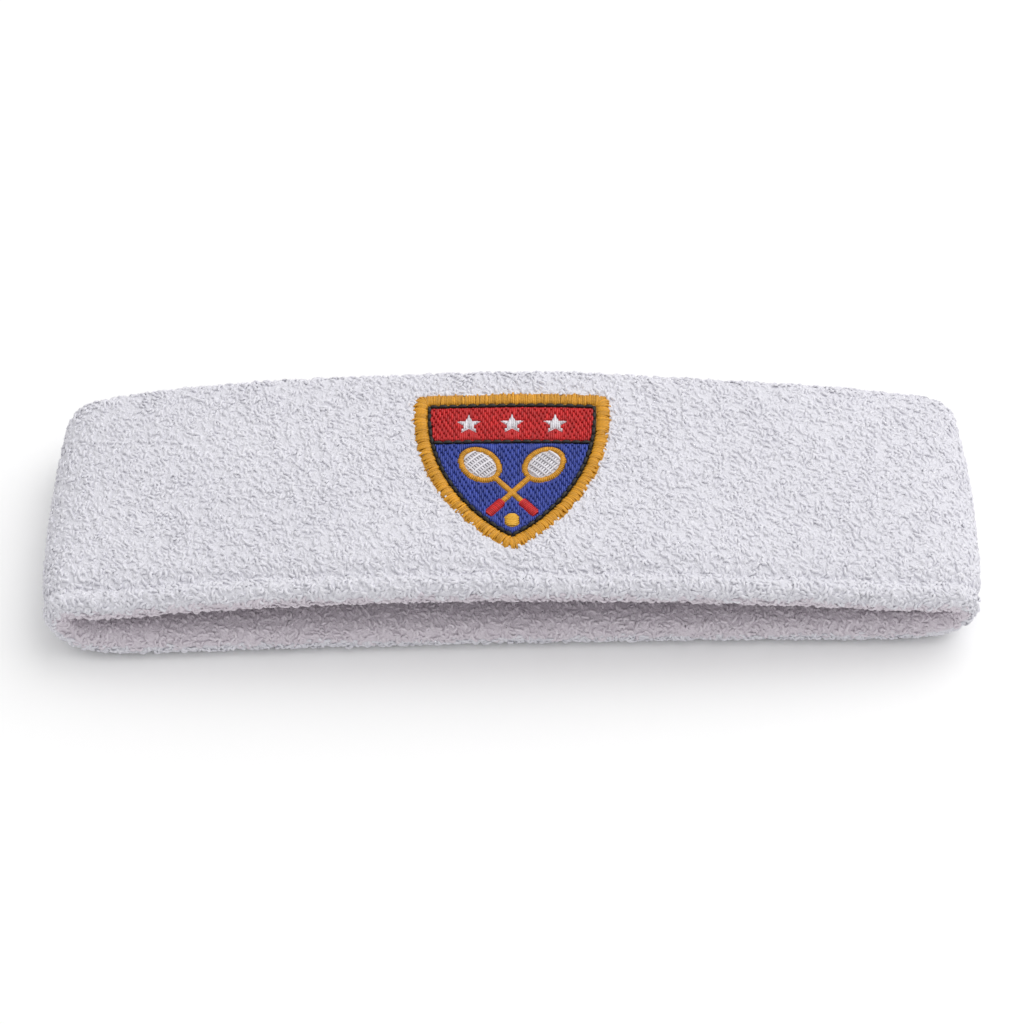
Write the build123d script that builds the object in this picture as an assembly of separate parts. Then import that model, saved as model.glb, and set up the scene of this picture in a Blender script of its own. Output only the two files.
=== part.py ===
"""Terry sports headband, lying flat on its back wall with the embroidered badge on top.

The band is one knitted terry tube, folded double into a two-ply wall and closed by a seam
on the skin side. Its loop lies in the XZ plane and its width runs along Y. The origin is on
the surface it rests on, under the middle of the band. All sizes are in millimetres.
"""

import math
import os

from build123d import *

# Overall size of the relaxed band
band_length = 180.0  # fold to fold, lying flat
band_width = 55.0
crown_rise = 5.5  # how far the front wall bows up over the back wall
end_gap = 1.5  # space left inside the loop at its two folds

# Layers of the folded wall
pile_height = 2.1  # terry loops on each face
ground_thickness = 0.6  # knitted ground that holds the loops

# Elastic yarns laid in round the loop
elastic_diameter = 0.6
elastic_pitch = 3.5
elastic_clearance_skin = 0.15  # between the yarns and the ground on the skin side
elastic_clearance_face = 0.1  # between the yarns and the badge's bobbin thread
elastic_margin = 3.0  # clear of the rounded inside of the folded edges

# Closing seam along the middle of the skin side
seam_bead_radius = 1.5
seam_neck_width = 0.9
seam_slit_clearance = 0.05
seam_thread_diameter = 0.32
seam_thread_clearance = 0.02
seam_stitch_pitch = 3.5

# Embroidered badge
badge_width = 38.0
badge_straight_depth = 5.0  # upright part of the shield's sides
badge_shift = 1.0  # towards the far edge
badge_corner_radius = 2.0
badge_tip_radius = 3.0
border_width = 2.6
outline_width = 0.7
underlay_thickness = 0.3
stitch_thickness = 0.9
badge_sink = 0.2  # how far the stitches lie below the tips of the pile
pocket_clearance = 0.3  # between the badge and the pile round it
backing_thickness = 0.25
backing_overhang = 4.0
bobbin_thickness = 0.2
backing_clearance = 0.1  # between the backing's edge and the rounded edges of the ground

# What the badge shows, drawn for a shield of this width inside its outline
drawing_width = 31.4
chief_height = 8.2

# Stars in the chief
star_count = 3
star_radius = 2.5
star_pitch = 8.4
star_inner_share = 0.42  # inner points of a star, as a share of its radius

# Crossed rackets and ball in the field
racket_tilt = 42.0  # degrees from upright
racket_head_length = 9.6
racket_head_width = 7.6
racket_rim = 1.1
racket_shaft_width = 1.2
racket_throat = 4.4  # from the crossing point up to the head
racket_tail = 2.8  # from the crossing point down to the grip
racket_grip_width = 2.0
racket_grip_length = 4.2
racket_cross_drop = 12.0  # crossing point of the shafts below the chief's divider
ball_radius = 1.6
ball_drop = 6.6  # below the crossing point

# Worked out from the sizes above
ply_gap = (
    backing_thickness
    + bobbin_thickness
    + elastic_clearance_face
    + elastic_diameter
    + elastic_clearance_skin
)
elastic_drop = ply_gap / 2 - elastic_clearance_skin - elastic_diameter / 2  # towards the skin
shield_inside_width = badge_width - 2 * (border_width + outline_width)
drawing_scale = shield_inside_width / drawing_width
wall = 2 * (pile_height + ground_thickness) + ply_gap
fold_radius = (wall + end_gap) / 2  # of the wall's middle line at each fold
fold_x = band_length / 2 - wall / 2 - fold_radius
fold_z = wall / 2 + fold_radius
crown_angle = 2 * math.degrees(math.atan(crown_rise / fold_x))
crown_radius = fold_radius + fold_x / math.sin(math.radians(crown_angle))
crown_axis_z = fold_z + crown_rise + fold_radius - crown_radius
clear_height = 2 * wall + end_gap + crown_rise + 5.0  # above everything

fold_axis = Axis((fold_x, 0, fold_z), (0, -1, 0))
crown_axis = Axis((0, 0, crown_axis_z), (0, -1, 0))
fold_turn = 180 - crown_angle

# Where each layer lies in the wall, measured outwards from its middle line
surface = wall / 2
ground_outer = surface - pile_height
ground_inner = ground_outer - ground_thickness
stitch_top = surface - badge_sink
stitch_bottom = stitch_top - stitch_thickness
underlay_bottom = stitch_bottom - underlay_thickness
backing_bottom = ground_inner - backing_thickness
bobbin_bottom = backing_bottom - bobbin_thickness

# Closing seam, from the skin side
seam_groove_width = 2 * (seam_bead_radius + seam_thread_diameter + pocket_clearance)
seam_slit_width = seam_neck_width + 2 * seam_slit_clearance


# ---------------------------------------------------------------- the loop


def wall_plane():
    """Cross-section plane at the right end of the back wall: x is the width, y is outwards."""
    return Plane(origin=(fold_x, 0, wall / 2), x_dir=(0, 1, 0), z_dir=(-1, 0, 0))


def crown_section(profile):
    """The cross-section turned round the right fold to the start of the front wall."""
    return (wall_plane() * profile).rotate(fold_axis, fold_turn)


def crown(profile):
    """The bowed front wall, swept from one cross-section."""
    return revolve(crown_section(profile), crown_axis, 2 * crown_angle)


def around_loop(profile):
    """One closed ring with this cross-section: back wall, two folds and front wall."""
    start = wall_plane() * profile
    back = extrude(start, amount=2 * fold_x)
    right_fold = revolve(start, fold_axis, fold_turn)
    left_fold = mirror(right_fold, about=Plane.YZ)
    return back + right_fold + left_fold + crown(profile)


def band(low, high, width):
    """A flat strip of cross-section between two distances from the wall's middle line."""
    return Pos(0, (low + high) / 2) * Rectangle(width, high - low)


def sleeve(outer_inset, inner_inset):
    """Cross-section of the folded tube between two depths under its surface."""
    outer = SlotOverall(band_width - 2 * outer_inset, wall - 2 * outer_inset)
    inner = SlotOverall(band_width - 2 * inner_inset, wall - 2 * inner_inset)
    return outer - inner


# ---------------------------------------------------------------- the terry tube


def pile_outside(pocket):
    """Loops on the face of the band, with a pocket where the stitches press them down."""
    half = sleeve(0, pile_height) & band(0, wall, band_width * 2)
    return around_loop(half) - pocket


def pile_skin_side():
    """Loops against the skin, parted along the closing seam."""
    half = sleeve(0, pile_height) & band(-wall, 0, band_width * 2)
    groove = band(-wall, -ground_outer, seam_groove_width)
    return around_loop(half - groove)


def ground_knit():
    """The knitted ground, one folded sheet whose two raw ends meet at the seam."""
    slit = band(-wall, 0, seam_slit_width)
    return around_loop(sleeve(pile_height, pile_height + ground_thickness) - slit)


def elastic_yarns():
    """Covered rubber yarns, each a ring that runs once round the loop."""
    reach = band_width / 2 - pile_height - ground_thickness - elastic_margin
    each_side = int(reach / elastic_pitch)
    yarn = Circle(elastic_diameter / 2)
    rings = [
        around_loop(Pos(n * elastic_pitch, -elastic_drop) * yarn)
        for n in range(-each_side, each_side + 1)
    ]
    return Compound(children=[ring.solid() for ring in rings])


# ---------------------------------------------------------------- the closing seam


def seam_bead():
    """The two raw ends rolled together: a neck in the slit and a bead on the skin side."""
    dome = Pos(0, -ground_outer) * Circle(seam_bead_radius)
    dome &= band(-wall, -ground_outer, 2 * seam_bead_radius)
    neck = band(-ground_outer, -ground_inner, seam_neck_width)
    return around_loop(dome + neck)


def loop_places(pitch, depth):
    """Places about one pitch apart round the loop, depth inside the wall's middle line."""
    straight = 2 * fold_x
    fold_arc = fold_radius * math.radians(fold_turn)
    crown_arc = crown_radius * math.radians(2 * crown_angle)
    foot = Location(wall_plane()) * Pos(0, -depth)
    places = []
    for step in range(round(straight / pitch)):
        places.append(Pos(-(step + 0.5) * straight / round(straight / pitch), 0, 0) * foot)
    for side in (1, -1):
        steps = round(fold_arc / pitch)
        for step in range(steps):
            turn = (step + 0.5) * fold_turn / steps
            place = turned(foot, fold_axis, turn)
            places.append(place if side == 1 else turned(place, Axis.Z, 180))
    crown_start = turned(foot, fold_axis, fold_turn)
    steps = round(crown_arc / pitch)
    for step in range(steps):
        turn = (step + 0.5) * 2 * crown_angle / steps
        places.append(turned(crown_start, crown_axis, turn))
    return places


def turned(place, axis, angle):
    """A place turned about an axis."""
    about = Location(Plane(origin=axis.position, z_dir=axis.direction))
    return about * Rot(0, 0, angle) * about.inverse() * place


def seam_stitches():
    """Whip stitches over the bead: short half rings of thread, side by side round the loop."""
    hoop_radius = seam_bead_radius + seam_thread_diameter / 2 + seam_thread_clearance
    thread = Pos(hoop_radius, 0) * Circle(seam_thread_diameter / 2)
    hoop = revolve(Plane.XZ * thread, Axis.Z, 180)
    hoop = hoop.rotate(Axis.Z, 180)
    places = loop_places(seam_stitch_pitch, ground_outer + seam_thread_clearance)
    return Compound(children=[place * hoop for place in places])


# ---------------------------------------------------------------- the badge


def shield(inset):
    """The badge's outline, moved in by inset: straight shoulders, then two arcs to a tip."""
    half = badge_width / 2
    tip = half * 2 * math.sin(math.radians(60))
    height = badge_straight_depth + tip
    top = height / 2 + badge_shift
    shoulder = top - badge_straight_depth
    lean = math.radians(30)
    right_mid = (-half + badge_width * math.cos(lean), shoulder - badge_width * math.sin(lean))
    left_mid = (-right_mid[0], right_mid[1])
    edges = [
        Line((-half, top), (half, top)),
        Line((half, top), (half, shoulder)),
        ThreePointArc((half, shoulder), right_mid, (0, shoulder - tip)),
        ThreePointArc((0, shoulder - tip), left_mid, (-half, shoulder)),
        Line((-half, shoulder), (-half, top)),
    ]
    face = make_face(edges)
    corners = face.vertices().sort_by(Axis.Y)
    face = fillet(corners[-2:], badge_corner_radius)
    face = fillet(face.vertices().sort_by(Axis.Y)[0], badge_tip_radius)
    return offset(face, amount=-inset) if inset else face


def badge_top():
    """Y of the shield's upper edge."""
    return shield(0).bounding_box().max.Y


def star():
    """A five-pointed star standing on two points."""
    points = []
    for corner in range(10):
        reach = star_radius if corner % 2 == 0 else star_radius * star_inner_share
        angle = math.radians(90 + corner * 36)
        points.append((reach * math.cos(angle), reach * math.sin(angle)))
    return make_face(Polyline(*points, close=True))


def racket(part, side):
    """One part of a racket, leaning to one side, with its crossing point at the origin."""
    head_y = racket_throat + racket_head_length / 2
    if part == "strings":
        shape = Pos(0, head_y) * Ellipse(
            racket_head_width / 2 - racket_rim, racket_head_length / 2 - racket_rim
        )
    elif part == "frame":
        head = Pos(0, head_y) * Ellipse(racket_head_width / 2, racket_head_length / 2)
        high = racket_throat + racket_rim
        length = racket_tail + high
        shaft = Pos(0, high - length / 2) * Rectangle(racket_shaft_width, length)
        shape = head + shaft
    else:
        grip_y = -racket_tail - racket_grip_length / 2
        shape = Pos(0, grip_y) * RectangleRounded(
            racket_grip_width, racket_grip_length, racket_grip_width * 0.3
        )
    return Rot(0, 0, -side * racket_tilt) * shape


def drawn(shape, x, y):
    """A shape of the badge's drawing, at the badge's own scale, moved to a place."""
    return Pos(x, y) * scale(shape, by=drawing_scale)


def badge_regions():
    """The badge's thread areas as flat shapes that meet edge to edge, by node name."""
    inside = shield(border_width + outline_width)
    chief_depth = chief_height * drawing_scale
    chief_low = badge_top() - border_width - outline_width - chief_depth
    wide = badge_width * 2
    chief = inside & (Pos(0, chief_low + wide / 2) * Rectangle(wide, wide))
    divider = inside & (Pos(0, chief_low - outline_width / 2) * Rectangle(wide, outline_width))
    field = inside - chief - divider

    star_y = chief_low + chief_depth / 2
    middle = (star_count - 1) / 2
    pitch = star_pitch * drawing_scale
    stars = [drawn(star(), (n - middle) * pitch, star_y) for n in range(star_count)]

    cross_y = chief_low - outline_width - racket_cross_drop * drawing_scale
    strings = drawn(racket("strings", 1) + racket("strings", -1), 0, cross_y)
    upper = drawn(racket("frame", 1), 0, cross_y) - strings
    lower = drawn(racket("frame", -1), 0, cross_y) - strings - upper
    frames = upper + lower
    grips = drawn(racket("grip", 1) + racket("grip", -1), 0, cross_y) - frames
    ball = drawn(Circle(ball_radius), 0, cross_y - ball_drop * drawing_scale)

    charges = [strings, frames, grips, ball]
    for charge in charges:
        field -= charge
    for shape in stars:
        chief -= shape
    return {
        "badge_border": shield(0) - shield(border_width),
        "badge_outline": shield(border_width) - inside + divider,
        "badge_chief": chief,
        "badge_field": field,
        "badge_stars": Sketch(children=stars),
        "racket_frames": frames,
        "racket_strings": strings,
        "racket_grips": grips,
        "badge_ball": ball,
    }


def laid_in_wall(region, low, high):
    """A flat region laid into the front wall between two distances from its middle line."""
    column = extrude(region, amount=clear_height)
    return column & crown(band(low, high, band_width))


def backing_cut():
    """The backing as it is cut: wider than the badge, but no wider than the flat of the wall."""
    flat_width = band_width - wall - 2 * backing_clearance
    cut = offset(shield(0), amount=backing_overhang)
    return cut & Rectangle(2 * badge_width + 2 * backing_overhang, flat_width)


def badge_pocket():
    """What the stitches press down in the pile, a little wider than the badge."""
    region = offset(shield(0), amount=pocket_clearance)
    return laid_in_wall(region, underlay_bottom, surface + badge_sink)


# ---------------------------------------------------------------- build and write


def build():
    """Every node of the headband, by name."""
    outline = shield(0)
    nodes = {
        "ground_knit": ground_knit(),
        "pile_outside": pile_outside(badge_pocket()),
        "pile_skin_side": pile_skin_side(),
        "elastic_yarns": elastic_yarns(),
        "seam_bead": seam_bead(),
        "seam_stitches": seam_stitches(),
        "embroidery_backing": laid_in_wall(backing_cut(), backing_bottom, ground_inner),
        "bobbin_thread": laid_in_wall(outline, bobbin_bottom, backing_bottom),
        "badge_underlay": laid_in_wall(outline, underlay_bottom, stitch_bottom),
    }
    for name, region in badge_regions().items():
        nodes[name] = laid_in_wall(region, stitch_bottom, stitch_top)
    return nodes


def main():
    """Builds the headband and writes one STEP file for each node."""
    os.makedirs("parts", exist_ok=True)
    for name, shape in build().items():
        export_step(shape, f"parts/{name}.step")


main()
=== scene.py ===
"""Looks of a terry sports headband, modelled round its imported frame.

The band is one knitted tube of cotton terry, folded double into a soft two-ply wall and closed
by a seam on the skin side. An embroidered shield badge lies in the pile of its front wall. The
back wall lies on the ground, and the loop runs round in the XZ plane.

Lengths are in metres, unless a name ends in _mm.
"""

from __future__ import annotations

import logging
import math
from contextlib import contextmanager
from dataclasses import dataclass, field
from enum import Enum
from typing import Callable, Iterator, Sequence

import bmesh
import bpy
import numpy as np
from mathutils import Matrix, Vector, noise
from mathutils.bvhtree import BVHTree


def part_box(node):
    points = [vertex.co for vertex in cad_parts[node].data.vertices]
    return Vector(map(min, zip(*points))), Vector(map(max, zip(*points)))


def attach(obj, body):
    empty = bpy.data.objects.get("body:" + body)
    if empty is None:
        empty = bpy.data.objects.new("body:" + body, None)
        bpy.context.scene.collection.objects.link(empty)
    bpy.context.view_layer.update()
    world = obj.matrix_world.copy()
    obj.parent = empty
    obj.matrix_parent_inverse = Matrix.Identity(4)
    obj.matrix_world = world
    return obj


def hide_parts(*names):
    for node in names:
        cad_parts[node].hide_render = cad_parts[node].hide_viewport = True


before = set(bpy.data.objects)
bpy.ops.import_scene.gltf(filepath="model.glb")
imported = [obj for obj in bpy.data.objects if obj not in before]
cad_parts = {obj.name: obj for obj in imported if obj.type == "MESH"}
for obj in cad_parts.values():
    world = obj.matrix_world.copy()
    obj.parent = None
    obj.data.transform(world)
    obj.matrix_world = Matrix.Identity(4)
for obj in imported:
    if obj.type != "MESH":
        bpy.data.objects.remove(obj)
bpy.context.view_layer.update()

MM = 0.001
BODY = "root"
SEED = 20
ABOVE = 5 * MM  # clear of a piece, for looking down on it

log = logging.getLogger("headband")


# ------------------------------------------------------------------ modelling by hand


def select_only(piece: bpy.types.Object) -> None:
    """Leaves one object selected and active.

    Args:
        piece: The object to select.
    """
    bpy.ops.object.select_all(action="DESELECT")
    piece.select_set(True)
    bpy.context.view_layer.objects.active = piece


@contextmanager
def editing(piece: bpy.types.Object) -> Iterator[None]:
    """Holds a piece in edit mode, with nothing selected at the start.

    Args:
        piece: The mesh object to edit.

    Yields:
        Nothing, once the piece is in edit mode.
    """
    select_only(piece)
    bpy.ops.object.mode_set(mode="EDIT")
    bpy.ops.mesh.select_all(action="DESELECT")
    yield
    bpy.ops.object.mode_set(mode="OBJECT")


def pick(piece: bpy.types.Object, wanted: Callable[[Vector], bool], kind: str = "VERT") -> None:
    """Selects what passes a test of its place, on a piece in edit mode.

    Args:
        piece: The mesh object in edit mode.
        wanted: The test, given a point's place or a face's middle.
        kind: "VERT" for points or "FACE" for faces.
    """
    bpy.ops.mesh.select_all(action="DESELECT")
    bpy.ops.mesh.select_mode(type=kind)
    shape = bmesh.from_edit_mesh(piece.data)
    for part in shape.verts if kind == "VERT" else shape.faces:
        place = part.co if kind == "VERT" else part.calc_center_median()
        part.select_set(bool(wanted(place)))
    shape.select_flush_mode()
    bmesh.update_edit_mesh(piece.data)


def settle(piece: bpy.types.Object) -> None:
    """Puts a piece's turn and place into its mesh, so that its object stands at the origin."""
    select_only(piece)
    bpy.ops.object.transform_apply(location=True, rotation=True, scale=True)


def apply_modifier(piece: bpy.types.Object, kind: str, **settings: object) -> None:
    """Adds one modifier and applies it.

    Args:
        piece: The object to change.
        kind: The modifier's type.
        settings: Its properties.
    """
    select_only(piece)
    modifier = piece.modifiers.new(kind.title(), kind)
    for name, value in settings.items():
        setattr(modifier, name, value)
    bpy.ops.object.modifier_apply(modifier=modifier.name)


def copy_of(piece: bpy.types.Object, name: str) -> bpy.types.Object:
    """Copies an object with its own mesh, unparented and without materials.

    Args:
        piece: The object to copy.
        name: The copy's name.

    Returns:
        The new object.
    """
    made = bpy.data.objects.new(name, piece.data.copy())
    bpy.context.scene.collection.objects.link(made)
    made.data.materials.clear()
    return made


def clean(piece: bpy.types.Object, within: float = 0.001 * MM) -> None:
    """Merges doubled points and turns all faces outwards.

    Args:
        piece: The mesh object.
        within: How close two points lie to be merged.
    """
    with editing(piece):
        bpy.ops.mesh.select_all(action="SELECT")
        bpy.ops.mesh.remove_doubles(threshold=within)
        bpy.ops.mesh.normals_make_consistent(inside=False)


def node_copy(node: str, name: str) -> bpy.types.Object:
    """Makes a clean copy of a CAD node's mesh.

    Args:
        node: The CAD node.
        name: The copy's name.

    Returns:
        The new object.
    """
    made = copy_of(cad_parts[node], name)
    clean(made, 0.002 * MM)
    return made


def points_of(piece: bpy.types.Object) -> np.ndarray:
    """Reads the places of a mesh's points.

    Args:
        piece: The mesh object.

    Returns:
        The places, one row each.
    """
    places = np.empty(len(piece.data.vertices) * 3)
    piece.data.vertices.foreach_get("co", places)
    return places.reshape(-1, 3)


def normals_of(piece: bpy.types.Object) -> np.ndarray:
    """Reads the normals at a mesh's points.

    Args:
        piece: The mesh object.

    Returns:
        The normals, one row each.
    """
    normals = np.empty(len(piece.data.vertices) * 3)
    piece.data.vertex_normals.foreach_get("vector", normals)
    return normals.reshape(-1, 3)


def move_points(piece: bpy.types.Object, places: np.ndarray) -> None:
    """Puts a mesh's points at new places, one row each."""
    piece.data.vertices.foreach_set("co", places.astype(np.float32).ravel())
    piece.data.update()


def smooth(piece: bpy.types.Object, angle: float = 60.0) -> None:
    """Shades a piece smoothly, apart from edges sharper than an angle in degrees."""
    select_only(piece)
    bpy.ops.object.shade_smooth_by_angle(angle=math.radians(angle))


def unit(rows: np.ndarray) -> np.ndarray:
    """Scales each row to a length of one."""
    return rows / np.maximum(np.linalg.norm(rows, axis=1), 1e-12)[:, None]


def hand_in(piece: bpy.types.Object, finish: Finish, *nodes: str) -> bpy.types.Object:
    """Gives a finished piece its material and its body, and hides the CAD nodes that it stands for.

    Args:
        piece: The finished piece.
        finish: What it is made of.
        nodes: The CAD nodes that it replaces.

    Returns:
        The same piece.
    """
    piece.data.materials.clear()
    piece.data.materials.append(finish.material())
    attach(piece, BODY)
    if nodes:
        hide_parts(*nodes)
    piece.data.calc_loop_triangles()
    log.info("%s: %d triangles, %s", piece.name, len(piece.data.loop_triangles), finish.name)
    return piece


# ------------------------------------------------------------------ finishes


def linear(code: str) -> tuple[float, float, float, float]:
    """Turns an sRGB hex colour into linear red, green, blue and alpha.

    Args:
        code: A colour such as "#f1eff5".

    Returns:
        The colour in linear values.
    """
    shares = [int(code[at : at + 2], 16) / 255 for at in (1, 3, 5)]
    turned = [s / 12.92 if s <= 0.04045 else ((s + 0.055) / 1.055) ** 2.4 for s in shares]
    return (*turned, 1.0)


def add_node(
    tree: bpy.types.NodeTree, kind: str, inputs: dict | None = None, **settings: object
) -> bpy.types.Node:
    """Adds one node with its settings and links.

    Args:
        tree: The node tree.
        kind: The node's type.
        inputs: A value or a socket for each input, by its name or number.
        settings: The node's properties.

    Returns:
        The new node.
    """
    node = tree.nodes.new(kind)
    for name, value in settings.items():
        setattr(node, name, value)
    for name, value in (inputs or {}).items():
        if isinstance(value, bpy.types.NodeSocket):
            tree.links.new(value, node.inputs[name])
        else:
            node.inputs[name].default_value = value
    return node


WAVE_SCALE = math.tau / 20  # a wave texture of this scale has one band in a unit of length


@dataclass(frozen=True)
class Finish:
    """What a piece is made of: a material slot of the record and its own surface."""

    slot: str = ""
    name: str = ""

    def material(self) -> bpy.types.Material:
        """Makes the material the first time that it is asked for.

        Returns:
            The finish's one material.
        """
        made = bpy.data.materials.get(self.name)
        if made is None:
            made = bpy.data.materials.new(self.name)
            made.use_nodes = True
            made.node_tree.nodes.clear()
            output = add_node(made.node_tree, "ShaderNodeOutputMaterial")
            surface = self.surface(made.node_tree)
            made.node_tree.links.new(surface.outputs[0], output.inputs["Surface"])
        return made

    def surface(self, tree: bpy.types.NodeTree) -> bpy.types.Node:
        """Adds the shader and what feeds it; each finish has its own."""
        raise NotImplementedError


@dataclass(frozen=True)
class CottonTerry(Finish):
    """Combed cotton yarn in uncut loops: dead matt, with a soft pale bloom at the rim.

    The eye gets a cool white that changes a little from loop to loop, and fine fibre on each.
    """

    slot: str = "terry_pile"
    name: str = "combed_cotton_looped"
    light: str = "#e9e8ee"
    dark: str = "#e1e0e7"
    fibre_mm: float = 0.22  # clumps of fibre, drawn coarser than the single fibres
    tuft_mm: float = 0.55  # the soft lumps where loops lie against each other
    tuft_relief_mm: float = 0.12
    fibre_relief_mm: float = 0.04

    def surface(self, tree: bpy.types.NodeTree) -> bpy.types.Node:
        """Mixes two whites by each loop's own tone, with tufts and fibre as a bump.

        Args:
            tree: The material's node tree.

        Returns:
            The shader.
        """
        tone = add_node(tree, "ShaderNodeAttribute", attribute_name="tone")
        place = add_node(tree, "ShaderNodeTexCoord")
        tufts = add_node(
            tree,
            "ShaderNodeTexNoise",
            {
                "Vector": place.outputs["Object"],
                "Scale": 1 / (self.tuft_mm * MM),
                "Detail": 1.0,
                "Distortion": 0.8,
            },
        )
        fibre = add_node(
            tree,
            "ShaderNodeTexNoise",
            {"Vector": place.outputs["Object"], "Scale": 1 / (self.fibre_mm * MM), "Detail": 2.0},
        )
        mixed = add_node(
            tree,
            "ShaderNodeMix",
            {0: tone.outputs["Fac"], 6: linear(self.dark), 7: linear(self.light)},
            data_type="RGBA",
        )
        lumps = add_node(
            tree,
            "ShaderNodeBump",
            {
                "Height": tufts.outputs["Fac"],
                "Strength": 0.7,
                "Distance": self.tuft_relief_mm * MM,
            },
        )
        relief = add_node(
            tree,
            "ShaderNodeBump",
            {
                "Height": fibre.outputs["Fac"],
                "Strength": 0.4,
                "Distance": self.fibre_relief_mm * MM,
                "Normal": lumps.outputs["Normal"],
            },
        )
        return add_node(
            tree,
            "ShaderNodeBsdfPrincipled",
            {
                "Base Color": mixed.outputs[2],
                "Normal": relief.outputs["Normal"],
                "Roughness": 0.95,
                "Specular IOR Level": 0.1,
                "Sheen Weight": 0.1,
                "Sheen Roughness": 0.6,
            },
        )


# Skin side of the same cotton: a warmer and greyer white, which is painted shade for the inside of
# the loop, seen in the opening.
SHADED_SKIN_SIDE = CottonTerry(name="combed_cotton_skin_side_shaded", light="#e2dbe2", dark="#d8d0d8")

# Feet of the loops, packed close: lumpier, and in each side's darker white, which is painted shade
# down between the loops. Their tone says which side they are on.
SHADED_PACKED_FEET = CottonTerry(
    name="combed_cotton_packed_shaded", light=CottonTerry.dark, dark=SHADED_SKIN_SIDE.dark, tuft_relief_mm=0.5
)


@dataclass(frozen=True)
class CottonKnit(Finish):
    """Plain knitted cotton ground: matt, with the small columns of its stitches."""

    slot: str = "ground_knit"
    name: str = "cotton_knit_plain"
    light: str = "#e8e6ec"
    dark: str = "#d2cfd8"
    column_mm: float = 0.9
    relief_mm: float = 0.15

    def surface(self, tree: bpy.types.NodeTree) -> bpy.types.Node:
        """Draws the knit's columns as slanting bands, in colour and in relief.

        Args:
            tree: The material's node tree.

        Returns:
            The shader.
        """
        place = add_node(tree, "ShaderNodeTexCoord")
        columns = add_node(
            tree,
            "ShaderNodeTexWave",
            {
                "Vector": place.outputs["Object"],
                "Scale": WAVE_SCALE / (self.column_mm * MM),
                "Distortion": 1.5,
                "Detail": 1.0,
            },
            bands_direction="DIAGONAL",
        )
        mixed = add_node(
            tree,
            "ShaderNodeMix",
            {0: columns.outputs["Fac"], 6: linear(self.dark), 7: linear(self.light)},
            data_type="RGBA",
        )
        relief = add_node(
            tree,
            "ShaderNodeBump",
            {
                "Height": columns.outputs["Fac"],
                "Strength": 0.6,
                "Distance": self.relief_mm * MM,
            },
        )
        return add_node(
            tree,
            "ShaderNodeBsdfPrincipled",
            {
                "Base Color": mixed.outputs[2],
                "Normal": relief.outputs["Normal"],
                "Roughness": 0.95,
                "Specular IOR Level": 0.2,
                "Sheen Weight": 0.2,
            },
        )


@dataclass(frozen=True)
class SeamKnit(CottonKnit):
    """The same knit, rolled up tight, so that its columns lie closer."""

    slot: str = "seam_knit"
    name: str = "cotton_knit_rolled"
    column_mm: float = 0.6


@dataclass(frozen=True)
class TwistedThread(Finish):
    """Plied thread: the eye gets slanting plies along each stitch, their flanks darkened as painted
    shade, and a shine that follows it.

    Each piece of thread carries its own "ply" attribute: its length so far in millimetres, and
    the cosine and sine of the angle round it. Its "tone" shifts one stitch from the next.
    """

    colour: str = "#ffffff"
    roughness: float = 0.5
    sheen: float = 0.0
    ply_mm: float = 0.7  # length of one turn of the plies, drawn coarser than it is
    tone_range: float = 0.5
    # painted shade: each ply's crown is drawn lighter than its flanks, as light falls on the twist
    ply_shade: float = 0.07  # how much lighter the crown of a ply is than its flanks
    relief_mm: float = 0.03

    def surface(self, tree: bpy.types.NodeTree) -> bpy.types.Node:
        """Turns the ply attribute into a slanting ridge, in colour as painted shade and in relief.

        Args:
            tree: The material's node tree.

        Returns:
            The shader.
        """
        tone = add_node(tree, "ShaderNodeAttribute", attribute_name="tone")
        ply = add_node(tree, "ShaderNodeAttribute", attribute_name="ply")
        parts = add_node(tree, "ShaderNodeSeparateXYZ", {0: ply.outputs["Vector"]})
        angle = add_node(
            tree,
            "ShaderNodeMath",
            {0: parts.outputs["Z"], 1: parts.outputs["Y"]},
            operation="ARCTAN2",
        )
        phase = add_node(
            tree,
            "ShaderNodeMath",
            {0: parts.outputs["X"], 1: math.tau / self.ply_mm, 2: angle.outputs[0]},
            operation="MULTIPLY_ADD",
        )
        ridge = add_node(tree, "ShaderNodeMath", {0: phase.outputs[0]}, operation="SINE")
        shift = add_node(
            tree,
            "ShaderNodeMath",
            {0: tone.outputs["Fac"], 1: self.tone_range, 2: 1 - self.tone_range / 2},
            operation="MULTIPLY_ADD",
        )
        # each stitch's own tone, with the ply's painted shade on top
        value = add_node(
            tree,
            "ShaderNodeMath",
            {0: ridge.outputs[0], 1: self.ply_shade, 2: shift.outputs[0]},
            operation="MULTIPLY_ADD",
        )
        dyed = add_node(
            tree,
            "ShaderNodeHueSaturation",
            {"Color": linear(self.colour), "Value": value.outputs[0]},
        )
        relief = add_node(
            tree,
            "ShaderNodeBump",
            {"Height": ridge.outputs[0], "Strength": 0.4, "Distance": self.relief_mm * MM},
        )
        return add_node(
            tree,
            "ShaderNodeBsdfPrincipled",
            {
                "Base Color": dyed.outputs[0],
                "Normal": relief.outputs["Normal"],
                "Roughness": self.roughness,
                "Sheen Weight": self.sheen,
                "Sheen Roughness": 0.4,
            },
        )


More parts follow.
